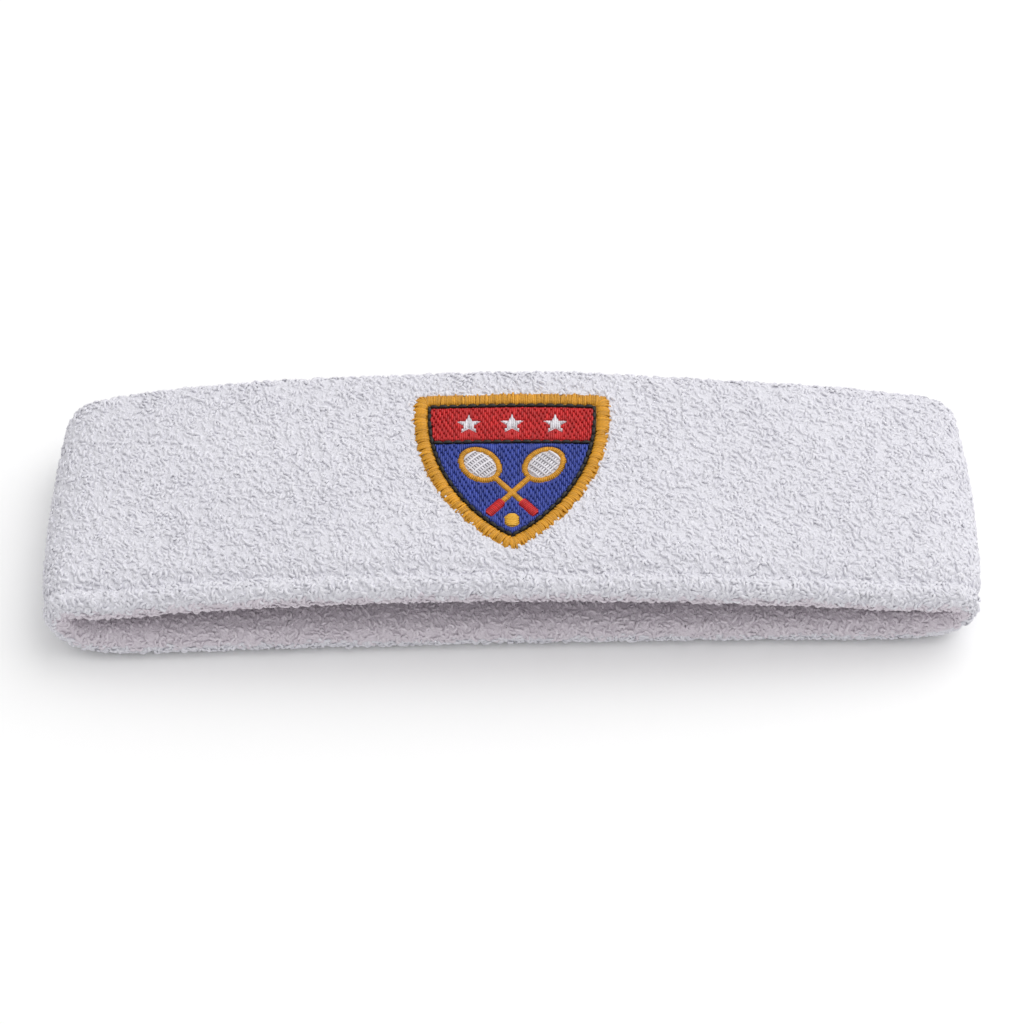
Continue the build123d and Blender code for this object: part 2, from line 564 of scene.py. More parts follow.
@dataclass(frozen=True)
class SoftNonWoven(Finish):
    """Tear-away backing: short fibres pressed flat, so it is mottled and has no direction."""

    slot: str = "backing"
    name: str = "viscose_nonwoven_pressed"
    light: str = "#eeeeec"
    dark: str = "#c9c9c6"
    clump_mm: float = 0.8
    relief_mm: float = 0.05

    def surface(self, tree: bpy.types.NodeTree) -> bpy.types.Node:
        """Mottles two greys by noise, with the same noise as relief.

        Args:
            tree: The material's node tree.

        Returns:
            The shader.
        """
        place = add_node(tree, "ShaderNodeTexCoord")
        clumps = add_node(
            tree,
            "ShaderNodeTexNoise",
            {"Vector": place.outputs["Object"], "Scale": 1 / (self.clump_mm * MM), "Detail": 5.0},
        )
        mixed = add_node(
            tree,
            "ShaderNodeMix",
            {0: clumps.outputs["Fac"], 6: linear(self.dark), 7: linear(self.light)},
            data_type="RGBA",
        )
        relief = add_node(
            tree,
            "ShaderNodeBump",
            {
                "Height": clumps.outputs["Fac"],
                "Strength": 0.5,
                "Distance": self.relief_mm * MM,
            },
        )
        return add_node(
            tree,
            "ShaderNodeBsdfPrincipled",
            {
                "Base Color": mixed.outputs[2],
                "Normal": relief.outputs["Normal"],
                "Roughness": 0.9,
            },
        )


@dataclass(frozen=True)
class CoveredRubber(Finish):
    """Rubber yarn wrapped in white polyester: fine rings of wrapping across each yarn."""

    slot: str = "elastic_yarn"
    name: str = "rubber_polyester_wrapped"
    light: str = "#f1efe8"
    dark: str = "#c8c2b2"
    wrap_mm: float = 0.35
    relief_mm: float = 0.04

    def surface(self, tree: bpy.types.NodeTree) -> bpy.types.Node:
        """Draws the wrapping as bands across the yarn's run, in colour and in relief.

        Args:
            tree: The material's node tree.

        Returns:
            The shader.
        """
        place = add_node(tree, "ShaderNodeTexCoord")
        wraps = add_node(
            tree,
            "ShaderNodeTexWave",
            {"Vector": place.outputs["Object"], "Scale": WAVE_SCALE / (self.wrap_mm * MM)},
            bands_direction="X",
        )
        mixed = add_node(
            tree,
            "ShaderNodeMix",
            {0: wraps.outputs["Fac"], 6: linear(self.dark), 7: linear(self.light)},
            data_type="RGBA",
        )
        relief = add_node(
            tree,
            "ShaderNodeBump",
            {"Height": wraps.outputs["Fac"], "Strength": 0.5, "Distance": self.relief_mm * MM},
        )
        return add_node(
            tree,
            "ShaderNodeBsdfPrincipled",
            {
                "Base Color": mixed.outputs[2],
                "Normal": relief.outputs["Normal"],
                "Roughness": 0.6,
            },
        )


@dataclass(frozen=True)
class PlainFloor(Finish):
    """Matt white studio sweep: nothing on it but a very faint unevenness of its paint."""

    name: str = "studio_floor_painted"
    colour: str = "#fdfdfd"
    mottle_mm: float = 60.0

    def surface(self, tree: bpy.types.NodeTree) -> bpy.types.Node:
        """Varies the paint's roughness a little by noise.

        Args:
            tree: The material's node tree.

        Returns:
            The shader.
        """
        place = add_node(tree, "ShaderNodeTexCoord")
        mottle = add_node(
            tree,
            "ShaderNodeTexNoise",
            {"Vector": place.outputs["Object"], "Scale": 1 / (self.mottle_mm * MM)},
        )
        rough = add_node(
            tree,
            "ShaderNodeMath",
            {0: mottle.outputs["Fac"], 1: 0.1, 2: 0.85},
            operation="MULTIPLY_ADD",
        )
        return add_node(
            tree,
            "ShaderNodeBsdfPrincipled",
            {
                "Base Color": linear(self.colour),
                "Roughness": rough.outputs[0],
                "Specular IOR Level": 0.1,
            },
        )


class ThreadColour(Enum):
    """The badge's threads, each with its slot in the record and its dyed colour."""

    GOLD = ("gold_thread", "#cf921c")
    BLACK = ("black_thread", "#14110f")
    RED = ("red_thread", "#c21b1d")
    BLUE = ("blue_thread", "#31439b")
    WHITE = ("white_thread", "#dddadf")
    YELLOW = ("yellow_thread", "#e3ad33")

    def finish(self) -> TwistedThread:
        """The thread as a finish: trilobal rayon, dyed and plied."""
        slot, colour = self.value
        return TwistedThread(slot=slot, name=f"rayon_{self.name.lower()}_plied", colour=colour)


SEWING_THREAD = TwistedThread(
    slot="sewing_thread", name="polyester_spun_white", colour="#e6e4ea", roughness=0.6
)
BOBBIN_THREAD = TwistedThread(
    slot="bobbin_thread", name="polyester_bobbin_white", colour="#e4e4e0", roughness=0.6
)
UNDERLAY_THREAD = TwistedThread(
    slot="underlay_thread", name="rayon_underlay_gold", colour="#b9821c"
)


# ------------------------------------------------------------------ the band's own geometry


def size_of(node: str) -> Vector:
    """Gives a CAD node's size along X, Y and Z."""
    low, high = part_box(node)
    return high - low


@dataclass(frozen=True)
class Band:
    """The loop's shape: a flat back wall, two round folds and a bowed front wall."""

    length: float
    width: float
    height: float
    wall: float
    pile: float
    gap: float = 1.5 * MM

    @classmethod
    def from_frame(cls) -> Band:
        """Reads the band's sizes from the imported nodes.

        Returns:
            The band as it is drawn.
        """
        whole = size_of("pile_outside")
        skin = size_of("pile_skin_side")
        ground = size_of("ground_knit")
        wall = whole.x - skin.x
        return cls(whole.x, whole.y, whole.z, wall, (whole.x - ground.x) / 2)

    @property
    def ground(self) -> float:
        """Depth of the ground's outer face from the wall's middle line."""
        return self.wall / 2 - self.pile

    @property
    def flat(self) -> float:
        """Half the width of the wall's flat part."""
        return (self.width - self.wall) / 2

    @property
    def fold_radius(self) -> float:
        """Radius of the wall's middle line at each fold."""
        return (self.wall + self.gap) / 2

    @property
    def fold_x(self) -> float:
        """Distance of each fold's centre from the middle."""
        return (self.length - self.wall) / 2 - self.fold_radius

    @property
    def fold_z(self) -> float:
        """Height of each fold's centre."""
        return self.wall / 2 + self.fold_radius

    @property
    def rise(self) -> float:
        """How far the front wall bows up."""
        return self.height - 2 * self.wall - self.gap

    @property
    def crown_angle(self) -> float:
        """Half the angle that the front wall spans."""
        return 2 * math.atan(self.rise / self.fold_x)

    @property
    def crown_radius(self) -> float:
        """Radius of the front wall's middle line."""
        return self.fold_radius + self.fold_x / math.sin(self.crown_angle)

    @property
    def crown_z(self) -> float:
        """Height of the front wall's axis, which is far below the ground."""
        return self.height - self.wall / 2 - self.crown_radius

    @property
    def loop_length(self) -> float:
        """Way round the wall's middle line."""
        fold = self.fold_radius * (math.pi - self.crown_angle)
        return 2 * self.fold_x + 2 * fold + self.crown_radius * 2 * self.crown_angle

    def on_crown(self, x: float, y: float, depth: float) -> Vector:
        """Gives the place on the front wall above a point of the ground.

        Args:
            x: Place along the band.
            y: Place across the band.
            depth: Distance outwards from the wall's middle line.

        Returns:
            The place.
        """
        radius = self.crown_radius + depth
        return Vector((x, y, self.crown_z + math.sqrt(radius * radius - x * x)))

    def up_at(self, x: float) -> Vector:
        """Gives the front wall's outward direction at a place along the band."""
        lean = math.asin(x / self.crown_radius)
        return Vector((math.sin(lean), 0.0, math.cos(lean)))

    def around(self, way: np.ndarray) -> tuple[np.ndarray, np.ndarray]:
        """Gives places on the wall's middle line.

        Args:
            way: How far round the loop each place lies, from the right end of the back wall.

        Returns:
            Each place, and the direction out of the loop there.
        """
        way = np.mod(way, self.loop_length)
        fold = math.pi - self.crown_angle
        starts, first, lean = [], 0.0, -math.pi / 2
        for x, z, radius, turn in (
            (self.fold_x, self.fold_z, self.fold_radius, fold),
            (0.0, self.crown_z, self.crown_radius, 2 * self.crown_angle),
            (-self.fold_x, self.fold_z, self.fold_radius, fold),
        ):
            starts.append((first, x, z, radius, lean))
            first, lean = first + radius * turn, lean + turn
        places = np.stack([way - first - self.fold_x, way * 0, way * 0 + self.wall / 2], axis=1)
        out = np.tile([0.0, 0.0, -1.0], (len(way), 1))
        stops = [start[0] for start in starts[1:]] + [first]
        for (begin, x, z, radius, lean), end in zip(starts, stops):
            here = (way >= begin) & (way < end)
            angle = lean + (way[here] - begin) / radius
            out[here] = np.stack([np.cos(angle), angle * 0, np.sin(angle)], axis=1)
            places[here] = np.array([x, 0.0, z]) + out[here] * radius
        return places, out

    def where(self, places: np.ndarray) -> tuple[np.ndarray, np.ndarray]:
        """Finds where points lie in the wall.

        Args:
            places: Points of the undeformed band, one row each.

        Returns:
            Each point's depth outwards from the wall's middle line, and its way round the loop
            as an angle from the middle of the back wall.
        """
        x, z = places[:, 0], places[:, 2]
        across, above = np.abs(x) - self.fold_x, z - self.fold_z
        slope = across * math.cos(self.crown_angle) - above * math.sin(self.crown_angle)
        fold = np.hypot(across, above) - self.fold_radius
        crown = np.hypot(x, z - self.crown_z) - self.crown_radius
        back = self.wall / 2 - z
        depth = np.where((slope < 0) & (above > 0), crown, np.where(across < 0, back, fold))
        turn = np.arctan2(x / self.length, -(z - self.height / 2) / self.height)
        return depth, turn

    def carry_round(self, straight_steps: int = 56, fold_steps: int = 16) -> None:
        """Sweeps the selected section once round the loop, on the piece in edit mode.

        The section stands at the right end of the back wall, and the sweep ends where it began.

        Args:
            straight_steps: Number of steps along each wall.
            fold_steps: Number of steps round each fold.
        """
        fold_turn = math.pi - self.crown_angle
        turns = (
            (self.fold_x, self.fold_z, fold_turn, fold_steps),
            (0.0, self.crown_z, 2 * self.crown_angle, straight_steps),
            (-self.fold_x, self.fold_z, fold_turn, fold_steps),
        )
        for x, z, angle, steps in turns:
            bpy.ops.mesh.spin(steps=steps, angle=angle, center=(x, 0, z), axis=(0, 1, 0))
        step = 2 * self.fold_x / straight_steps
        for _ in range(straight_steps):
            bpy.ops.mesh.extrude_region_move(TRANSFORM_OT_translate={"value": (step, 0, 0)})
        bpy.ops.mesh.select_all(action="SELECT")
        bpy.ops.mesh.remove_doubles(threshold=0.01 * MM)
        bpy.ops.mesh.normals_make_consistent(inside=False)

    def stand_section(self, piece: bpy.types.Object, depth: float, y: float = 0.0) -> None:
        """Stands a section drawn in XY up at the right end of the back wall.

        Args:
            piece: The section: X across the band and Y outwards.
            depth: Distance of its origin outwards from the wall's middle line.
            y: Place of its origin across the band.
        """
        upright = Matrix(((0, 0, 1), (1, 0, 0), (0, -1, 0))).to_4x4()
        place = Matrix.Translation((self.fold_x, y, self.wall / 2 - depth))
        piece.matrix_world = place @ upright
        settle(piece)


@dataclass
class SoftForm:
    """How the real band sags out of the drawn shape: one lattice that all its pieces share."""

    band: Band
    near_drop: float = 1.2 * MM  # the front wall's near edge lies lower than drawn
    far_rise: float = 1.2 * MM
    fold_taper: float = 2.2 * MM  # each edge draws in towards the folds
    fold_reach: float = 16 * MM  # how far from the fold the draw-in begins
    corner_round: float = 1.6 * MM  # the far corners lie nearer the middle than drawn
    low_round: float = 3.0 * MM  # and so do the back wall's near corners, which curl up
    corner_turn: float = 1.3 * MM  # of these the left one lies further in, the right one out
    far_tilt: float = 1.0 * MM  # the far edge lies further in at the right, further out at the left
    tilt_from: float = -0.2  # where that tilt is nil, as a share of half the length
    far_peak: float = 1.2 * MM  # the far edge comes to a soft point by the middle
    peak_at: float = 0.07  # as a share of half the length
    peak_reach: float = 0.16
    end_lift: float = 2.2 * MM  # the back wall curls up off the ground at the folds
    skew: float = 2.6 * MM  # the back wall lies turned a little under the front wall
    skew_bow: float = -1.6 * MM  # and both its ends lie nearer than its middle
    cage_points: tuple[int, int, int] = (21, 5, 4)
    cage_room: float = 1.08  # the cage's size as a share of the band's
    cage: bpy.types.Object | None = None

    def build(self) -> None:
        """Makes the lattice round the whole band and moves its points."""
        bpy.ops.object.select_all(action="DESELECT")
        bpy.ops.object.add(type="LATTICE")
        self.cage = bpy.context.active_object
        grid = self.cage.data
        grid.points_u, grid.points_v, grid.points_w = self.cage_points
        size = Vector((self.band.length, self.band.width, self.band.height))
        self.cage.scale = size * self.cage_room
        self.cage.location = (0, 0, self.band.height / 2)
        bpy.context.view_layer.update()
        for point in grid.points:
            place = self.cage.matrix_world @ point.co
            moved = place + self.shift(place)
            point.co_deform = self.cage.matrix_world.inverted() @ moved

    def shift(self, place: Vector) -> Vector:
        """Gives how far the cloth lies from its drawn place.

        Args:
            place: A place in or near the band.

        Returns:
            The move from the drawn place.
        """
        half_x, half_y = self.band.length / 2, self.band.width / 2
        along, side = place.x / half_x, place.y / half_y
        toward_fold = max(0.0, abs(place.x) - (half_x - self.fold_reach)) / self.fold_reach
        middle = max(0.0, 1 - along**2)
        top = min(1.0, max(0.0, place.z / self.band.height))
        bow = (self.far_rise if side > 0 else self.near_drop) * side * middle * top
        lift = self.end_lift * toward_fold**2 * (1 - top)
        draw_in = -self.fold_taper * toward_fold**2 * side
        turned = (self.skew * along + self.skew_bow * along**2) * (1 - top)
        far, near = max(0.0, side) ** 3, max(0.0, -side) ** 3
        rounded = self.corner_round * far + self.low_round * near * (1 - top) ** 3
        inward = -math.copysign(rounded * toward_fold, place.x)
        turned -= math.copysign(self.corner_turn, place.x) * toward_fold**2 * near * (1 - top)
        peak = self.far_peak * math.exp(-(((along - self.peak_at) / self.peak_reach) ** 2))
        back = (peak - self.far_tilt * (along - self.tilt_from)) * far * top
        return Vector((inward, draw_in + turned + back, bow + lift))

    def shape(self, piece: bpy.types.Object) -> bpy.types.Object:
        """Bends a piece as the cloth lies.

        Args:
            piece: A piece modelled in its drawn place.

        Returns:
            The same piece.
        """
        apply_modifier(piece, "LATTICE", object=self.cage)
        return piece

    def put_away(self) -> None:
        """Removes the lattice, once every piece has been bent."""
        bpy.data.objects.remove(self.cage)


# ------------------------------------------------------------------ copies of one shape


@dataclass
class Stamp:
    """One small shape, kept as arrays, that is copied many times into one mesh."""

    points: np.ndarray
    corners: np.ndarray
    face_sizes: np.ndarray

    @classmethod
    def taken_from(cls, piece: bpy.types.Object) -> Stamp:
        """Takes a modelled shape and removes its object.

        Args:
            piece: The shape, at the origin.

        Returns:
            The shape as a stamp.
        """
        mesh = piece.data
        corners = np.empty(len(mesh.loops), dtype=np.int32)
        mesh.loops.foreach_get("vertex_index", corners)
        sizes = np.array([len(face.vertices) for face in mesh.polygons], dtype=np.int32)
        made = cls(points_of(piece), corners, sizes)
        bpy.data.objects.remove(piece)
        return made


def press(
    name: str,
    parts: list[tuple[Stamp, np.ndarray]],
    marks: dict[str, list[np.ndarray]],
) -> bpy.types.Object:
    """Joins many placed copies of stamps into one mesh object.

    Args:
        name: The new object's name.
        parts: Each stamp with the placed points of its copies: copy, point, x y z.
        marks: Point attributes, each a list with one array for each part. An array has a value
            for each copy, or for each copy and point, or three for each copy and point.

    Returns:
        The new object, smooth-shaded.
    """
    places, corners, sizes, first = [], [], [], 0
    for stamp, placed in parts:
        copies, count = placed.shape[:2]
        starts = first + np.arange(copies, dtype=np.int32) * count
        places.append(placed.reshape(-1, 3))
        corners.append((starts[:, None] + stamp.corners[None, :]).ravel())
        sizes.append(np.tile(stamp.face_sizes, copies))
        first += copies * count
    places, corners, sizes = map(np.concatenate, (places, corners, sizes))
    mesh = bpy.data.meshes.new(name)
    mesh.vertices.add(len(places))
    mesh.vertices.foreach_set("co", places.astype(np.float32).ravel())
    mesh.loops.add(len(corners))
    mesh.loops.foreach_set("vertex_index", corners.astype(np.int32))
    mesh.polygons.add(len(sizes))
    starts = np.concatenate([[0], np.cumsum(sizes)[:-1]]).astype(np.int32)
    mesh.polygons.foreach_set("loop_start", starts)
    mesh.polygons.foreach_set("use_smooth", np.ones(len(sizes), dtype=bool))
    mesh.update(calc_edges=True)
    for mark, values in marks.items():
        rows = []
        for (stamp, placed), value in zip(parts, values):
            if value.ndim == 1:
                value = np.repeat(value[:, None], placed.shape[1], axis=1)
            rows.append(value.reshape(-1, value.shape[2]) if value.ndim == 3 else value.ravel())
        row = np.concatenate(rows).astype(np.float32)
        kind, key = ("FLOAT_VECTOR", "vector") if row.ndim == 2 else ("FLOAT", "value")
        mesh.attributes.new(mark, kind, "POINT").data.foreach_set(key, row.ravel())
    made = bpy.data.objects.new(name, mesh)
    bpy.context.scene.collection.objects.link(made)
    return made


# ------------------------------------------------------------------ the knitted ground


@dataclass
class GroundKnit:
    """The knitted ground: one sheet folded double round the loop, open along the seam."""

    band: Band
    form: SoftForm
    thickness: float = 0.6 * MM
    half_circle_points: int = 8
    flat_cuts: int = 34
    puff: float = 1.3 * MM  # most that the padded wall swells on its face
    skin_puff_share: float = 0.25  # how much of that it swells on the skin side
    crease_mm: float = 5.0  # a faint crease runs this far inside the near edge
    crease_depth: float = 1.1 * MM
    crease_spread: float = 2.0 * MM
    badge_hold: float = 2.0 * MM  # the wall is held this far round the badge
    crease_hold: float = 1.2 * MM
    seam_hold: float = 2.5 * MM
    floor_hold: float = 0.5 * MM
    pressure: float = 4.0
    frames: int = 12
    skin: bpy.types.Object | None = None
    drawn: np.ndarray | None = None

    @property
    def flat_size(self) -> tuple[float, float]:
        """Width and length of the sheet as it was cut, before it was folded double."""
        radius = self.band.ground - self.thickness / 2
        return 4 * self.band.flat + math.tau * radius, self.band.loop_length

    def build_skin(self) -> None:
        """Models the ground's outer face as one closed tube, padded and bent as it lies."""
        piece = self.section()
        with editing(piece):
            bpy.ops.mesh.select_all(action="SELECT")
            self.band.carry_round()
        self.skin = piece
        self.drawn = points_of(piece)
        self.pad()
        self.press_crease()
        self.form.shape(piece)

    def section(self) -> bpy.types.Object:
        """Draws the wall's section: two half circles joined by two straight lines.

        Returns:
            The section, standing where the sweep starts.
        """
        bpy.ops.object.select_all(action="DESELECT")
        count = 2 * self.half_circle_points
        bpy.ops.mesh.primitive_circle_add(
            vertices=count, radius=self.band.ground, fill_type="NOTHING"
        )
        piece = bpy.context.active_object
        piece.name = "ground_section"
        flat = self.band.flat
        with editing(piece):
            bpy.ops.mesh.select_all(action="SELECT")
            bpy.ops.transform.rotate(
                value=math.pi / count, orient_axis="Z", center_override=(0, 0, 0)
            )
            for side in (1, -1):
                pick(piece, lambda place, side=side: place.x * side > 0)
                bpy.ops.transform.translate(value=(side * flat, 0, 0))
            bpy.ops.mesh.select_mode(type="EDGE")
            bpy.ops.mesh.select_all(action="DESELECT")
            shape = bmesh.from_edit_mesh(piece.data)
            for edge in shape.edges:
                edge.select_set(edge.calc_length() > flat)
            bmesh.update_edit_mesh(piece.data)
            bpy.ops.mesh.subdivide(number_cuts=self.flat_cuts)
            bpy.ops.mesh.select_mode(type="VERT")
        self.band.stand_section(piece, 0.0)
        return piece

    def press_crease(self) -> None:
        """Sinks the faint crease that runs along the near edge of the face."""
        depth, _ = self.band.where(self.drawn)
        crease = self.crease_mm * MM - self.band.width / 2
        near = np.exp(-(((self.drawn[:, 1] - crease) / self.crease_spread) ** 2))
        sink = np.where(depth > 0, self.crease_depth, 0.0) * near
        move_points(self.skin, points_of(self.skin) - normals_of(self.skin) * sink[:, None])

    def held_back(self) -> np.ndarray:
        """Finds how firmly each point is held while the wall swells.

        Returns:
            One number for each point, from 0 to 1.
        """
        depth, _ = self.band.where(self.drawn)
        on_crown = (depth > 0) & (self.drawn[:, 2] > self.band.fold_z + self.band.fold_radius)
        badge_low, badge_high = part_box("badge_border")
        room = self.badge_hold
        by_badge = (
            on_crown
            & (self.drawn[:, 0] > badge_low.x - room)
            & (self.drawn[:, 0] < badge_high.x + room)
            & (self.drawn[:, 1] > badge_low.y - room)
            & (self.drawn[:, 1] < badge_high.y + room)
        )
        crease = self.crease_mm * MM - self.band.width / 2
        by_crease = (depth > 0) & (np.abs(self.drawn[:, 1] - crease) < self.crease_hold)
        by_seam = (depth < 0) & (np.abs(self.drawn[:, 1]) < self.seam_hold)
        by_floor = (depth > 0) & (self.drawn[:, 2] < self.band.pile + self.floor_hold)
        return np.maximum.reduce([by_badge * 1.0, by_crease * 0.9, by_seam * 1.0, by_floor * 1.0])

    def pad(self) -> None:
        """Swells the wall a little by cloth simulation, held at badge, seam, crease and floor."""
        piece = self.skin
        start = points_of(piece)
        group = piece.vertex_groups.new(name="held")
        held = self.held_back()
        for index in np.flatnonzero(held > 0):
            group.add([int(index)], float(held[index]), "REPLACE")
        select_only(piece)
        cloth = piece.modifiers.new("Cloth", "CLOTH")
        settings = cloth.settings
        settings.vertex_group_mass = group.name
        settings.use_pressure = True
        settings.uniform_pressure_force = self.pressure
        settings.mass = 0.15
        settings.quality = 6
        settings.tension_stiffness = 8.0
        settings.compression_stiffness = 8.0
        settings.bending_stiffness = 0.4
        settings.effector_weights.gravity = 0.0
        cloth.collision_settings.use_collision = False
        scene = bpy.context.scene
        for step in range(1, self.frames + 1):
            scene.frame_set(step)
        bpy.ops.object.modifier_apply(modifier=cloth.name)
        scene.frame_set(1)
        moved = points_of(piece) - start
        depth, _ = self.band.where(self.drawn)
        most = np.where(depth > 0, self.puff, self.skin_puff_share * self.puff) * (1 - held)
        far = np.maximum(np.linalg.norm(moved, axis=1), 1e-9)
        kept = start + moved * np.minimum(1.0, most / far)[:, None]
        move_points(piece, kept)
        with editing(piece):
            bpy.ops.mesh.select_all(action="SELECT")
            bpy.ops.mesh.vertices_smooth(factor=0.5, repeat=2)
        piece.vertex_groups.clear()
        log.info("wall swelled by up to %.2f mm", float(np.minimum(most, far).max()) / MM)

    def build(self) -> bpy.types.Object:
        """Makes the sheet itself from the tube: slit along the seam and given its thickness.

        Returns:
            The ground sheet.
        """
        piece = copy_of(self.skin, "ground_cloth")
        depth, _ = self.band.where(self.drawn)
        inner = depth < 0
        mesh = piece.data
        middle_row = self.band.flat / (self.flat_cuts + 1) * 1.05 / 2  # of faces, with some play
        gone = []
        for face in mesh.polygons:
            at = self.drawn[list(face.vertices)]
            gone.append(abs(at[:, 1].mean()) < middle_row and inner[face.vertices[0]])
        with editing(piece):
            bpy.ops.mesh.select_mode(type="FACE")
            shape = bmesh.from_edit_mesh(mesh)
            shape.faces.ensure_lookup_table()
            for face, out in zip(shape.faces, gone):
                face.select_set(bool(out))
            bmesh.update_edit_mesh(mesh)
            bpy.ops.mesh.delete(type="FACE")
            bpy.ops.mesh.select_mode(type="VERT")
        apply_modifier(piece, "SOLIDIFY", thickness=self.thickness, offset=-1.0)
        smooth(piece)
        return hand_in(piece, CottonKnit(), "ground_knit")


# ------------------------------------------------------------------ the terry pile


@dataclass(frozen=True)
class LoopShape:
    """One way that a loop of yarn bends over where it stands out of its neighbours."""

    width_mm: float
    twist: float
    curl_mm: float
    foot: float = 0.6  # how far apart its feet stand, as a share of the arch's width
    root_mm: float = 0.35  # how far its feet run on into the pile
    bends: tuple[tuple[float, float], ...] = ((0.3, 0.4), (0.7, 0.6))  # curl: above, share of it

    def model(self, yarn_mm: float, sides: int = 4, steps: int = 5) -> Stamp:
        """Spins a ring of yarn into an arch, draws its feet in, and curls and twists it.

        Args:
            yarn_mm: The yarn's thickness.
            sides: Number of sides of the yarn.
            steps: Number of steps over the arch.

        Returns:
            The loop as a stamp, with its feet at the origin.
        """
        half, root = self.width_mm * MM / 2, self.root_mm * MM
        bpy.ops.object.select_all(action="DESELECT")
        bpy.ops.mesh.primitive_circle_add(
            vertices=sides, radius=yarn_mm * MM / 2, fill_type="NOTHING", location=(half, 0, 0)
        )
        piece = bpy.context.active_object
        settle(piece)
        with editing(piece):
            bpy.ops.mesh.select_all(action="SELECT")
            bpy.ops.mesh.spin(steps=steps, angle=math.pi, center=(0, 0, 0), axis=(0, 1, 0))
            bpy.ops.mesh.select_all(action="SELECT")
            bpy.ops.transform.translate(value=(0, 0, root))
            pick(piece, lambda place: place.z < root + 0.01 * half)
            bpy.ops.transform.translate(value=(0, 0, -root))
            bpy.ops.transform.resize(value=(self.foot, 1, 1), center_override=(0, 0, 0))
            bpy.ops.mesh.select_all(action="SELECT")
            bpy.ops.mesh.fill_holes(sides=sides)
            for share, part in self.bends:
                level = root + share * half
                pick(piece, lambda place, level=level: place.z > level)
                bpy.ops.transform.translate(value=(0, part * self.curl_mm * MM, 0))
            bpy.ops.mesh.select_all(action="SELECT")
            bpy.ops.mesh.normals_make_consistent(inside=False)
        apply_modifier(
            piece,
            "SIMPLE_DEFORM",
            deform_method="TWIST",
            deform_axis="Z",
            angle=math.radians(self.twist),
        )
        return Stamp.taken_from(piece)


def thin_out(places: np.ndarray, spacing: np.ndarray) -> np.ndarray:
    """Keeps points that stand clear of the ones kept before them.

    Args:
        places: Points in the order of choosing, one row each.
        spacing: How far each stays from its neighbours.

    Returns:
        The numbers of the points kept.
    """
    cell = float(spacing.max())
    homes = np.floor(places / cell).astype(int)
    shelf: dict[tuple[int, int, int], list[int]] = {}
    steps = [(i, j, k) for i in (-1, 0, 1) for j in (-1, 0, 1) for k in (-1, 0, 1)]
    rows, near, kept = places.tolist(), (spacing**2).tolist(), []
    for number, (i, j, k) in enumerate(homes.tolist()):
        x, y, z = rows[number]
        limit = near[number]
        clear = True
        for a, b, c in steps:
            for other in shelf.get((i + a, j + b, k + c), ()):
                u, v, w = rows[other]
                if (u - x) ** 2 + (v - y) ** 2 + (w - z) ** 2 < limit:
                    clear = False
                    break
            if not clear:
                break
        if clear:
            shelf.setdefault((i, j, k), []).append(number)
            kept.append(number)
    return np.array(kept)


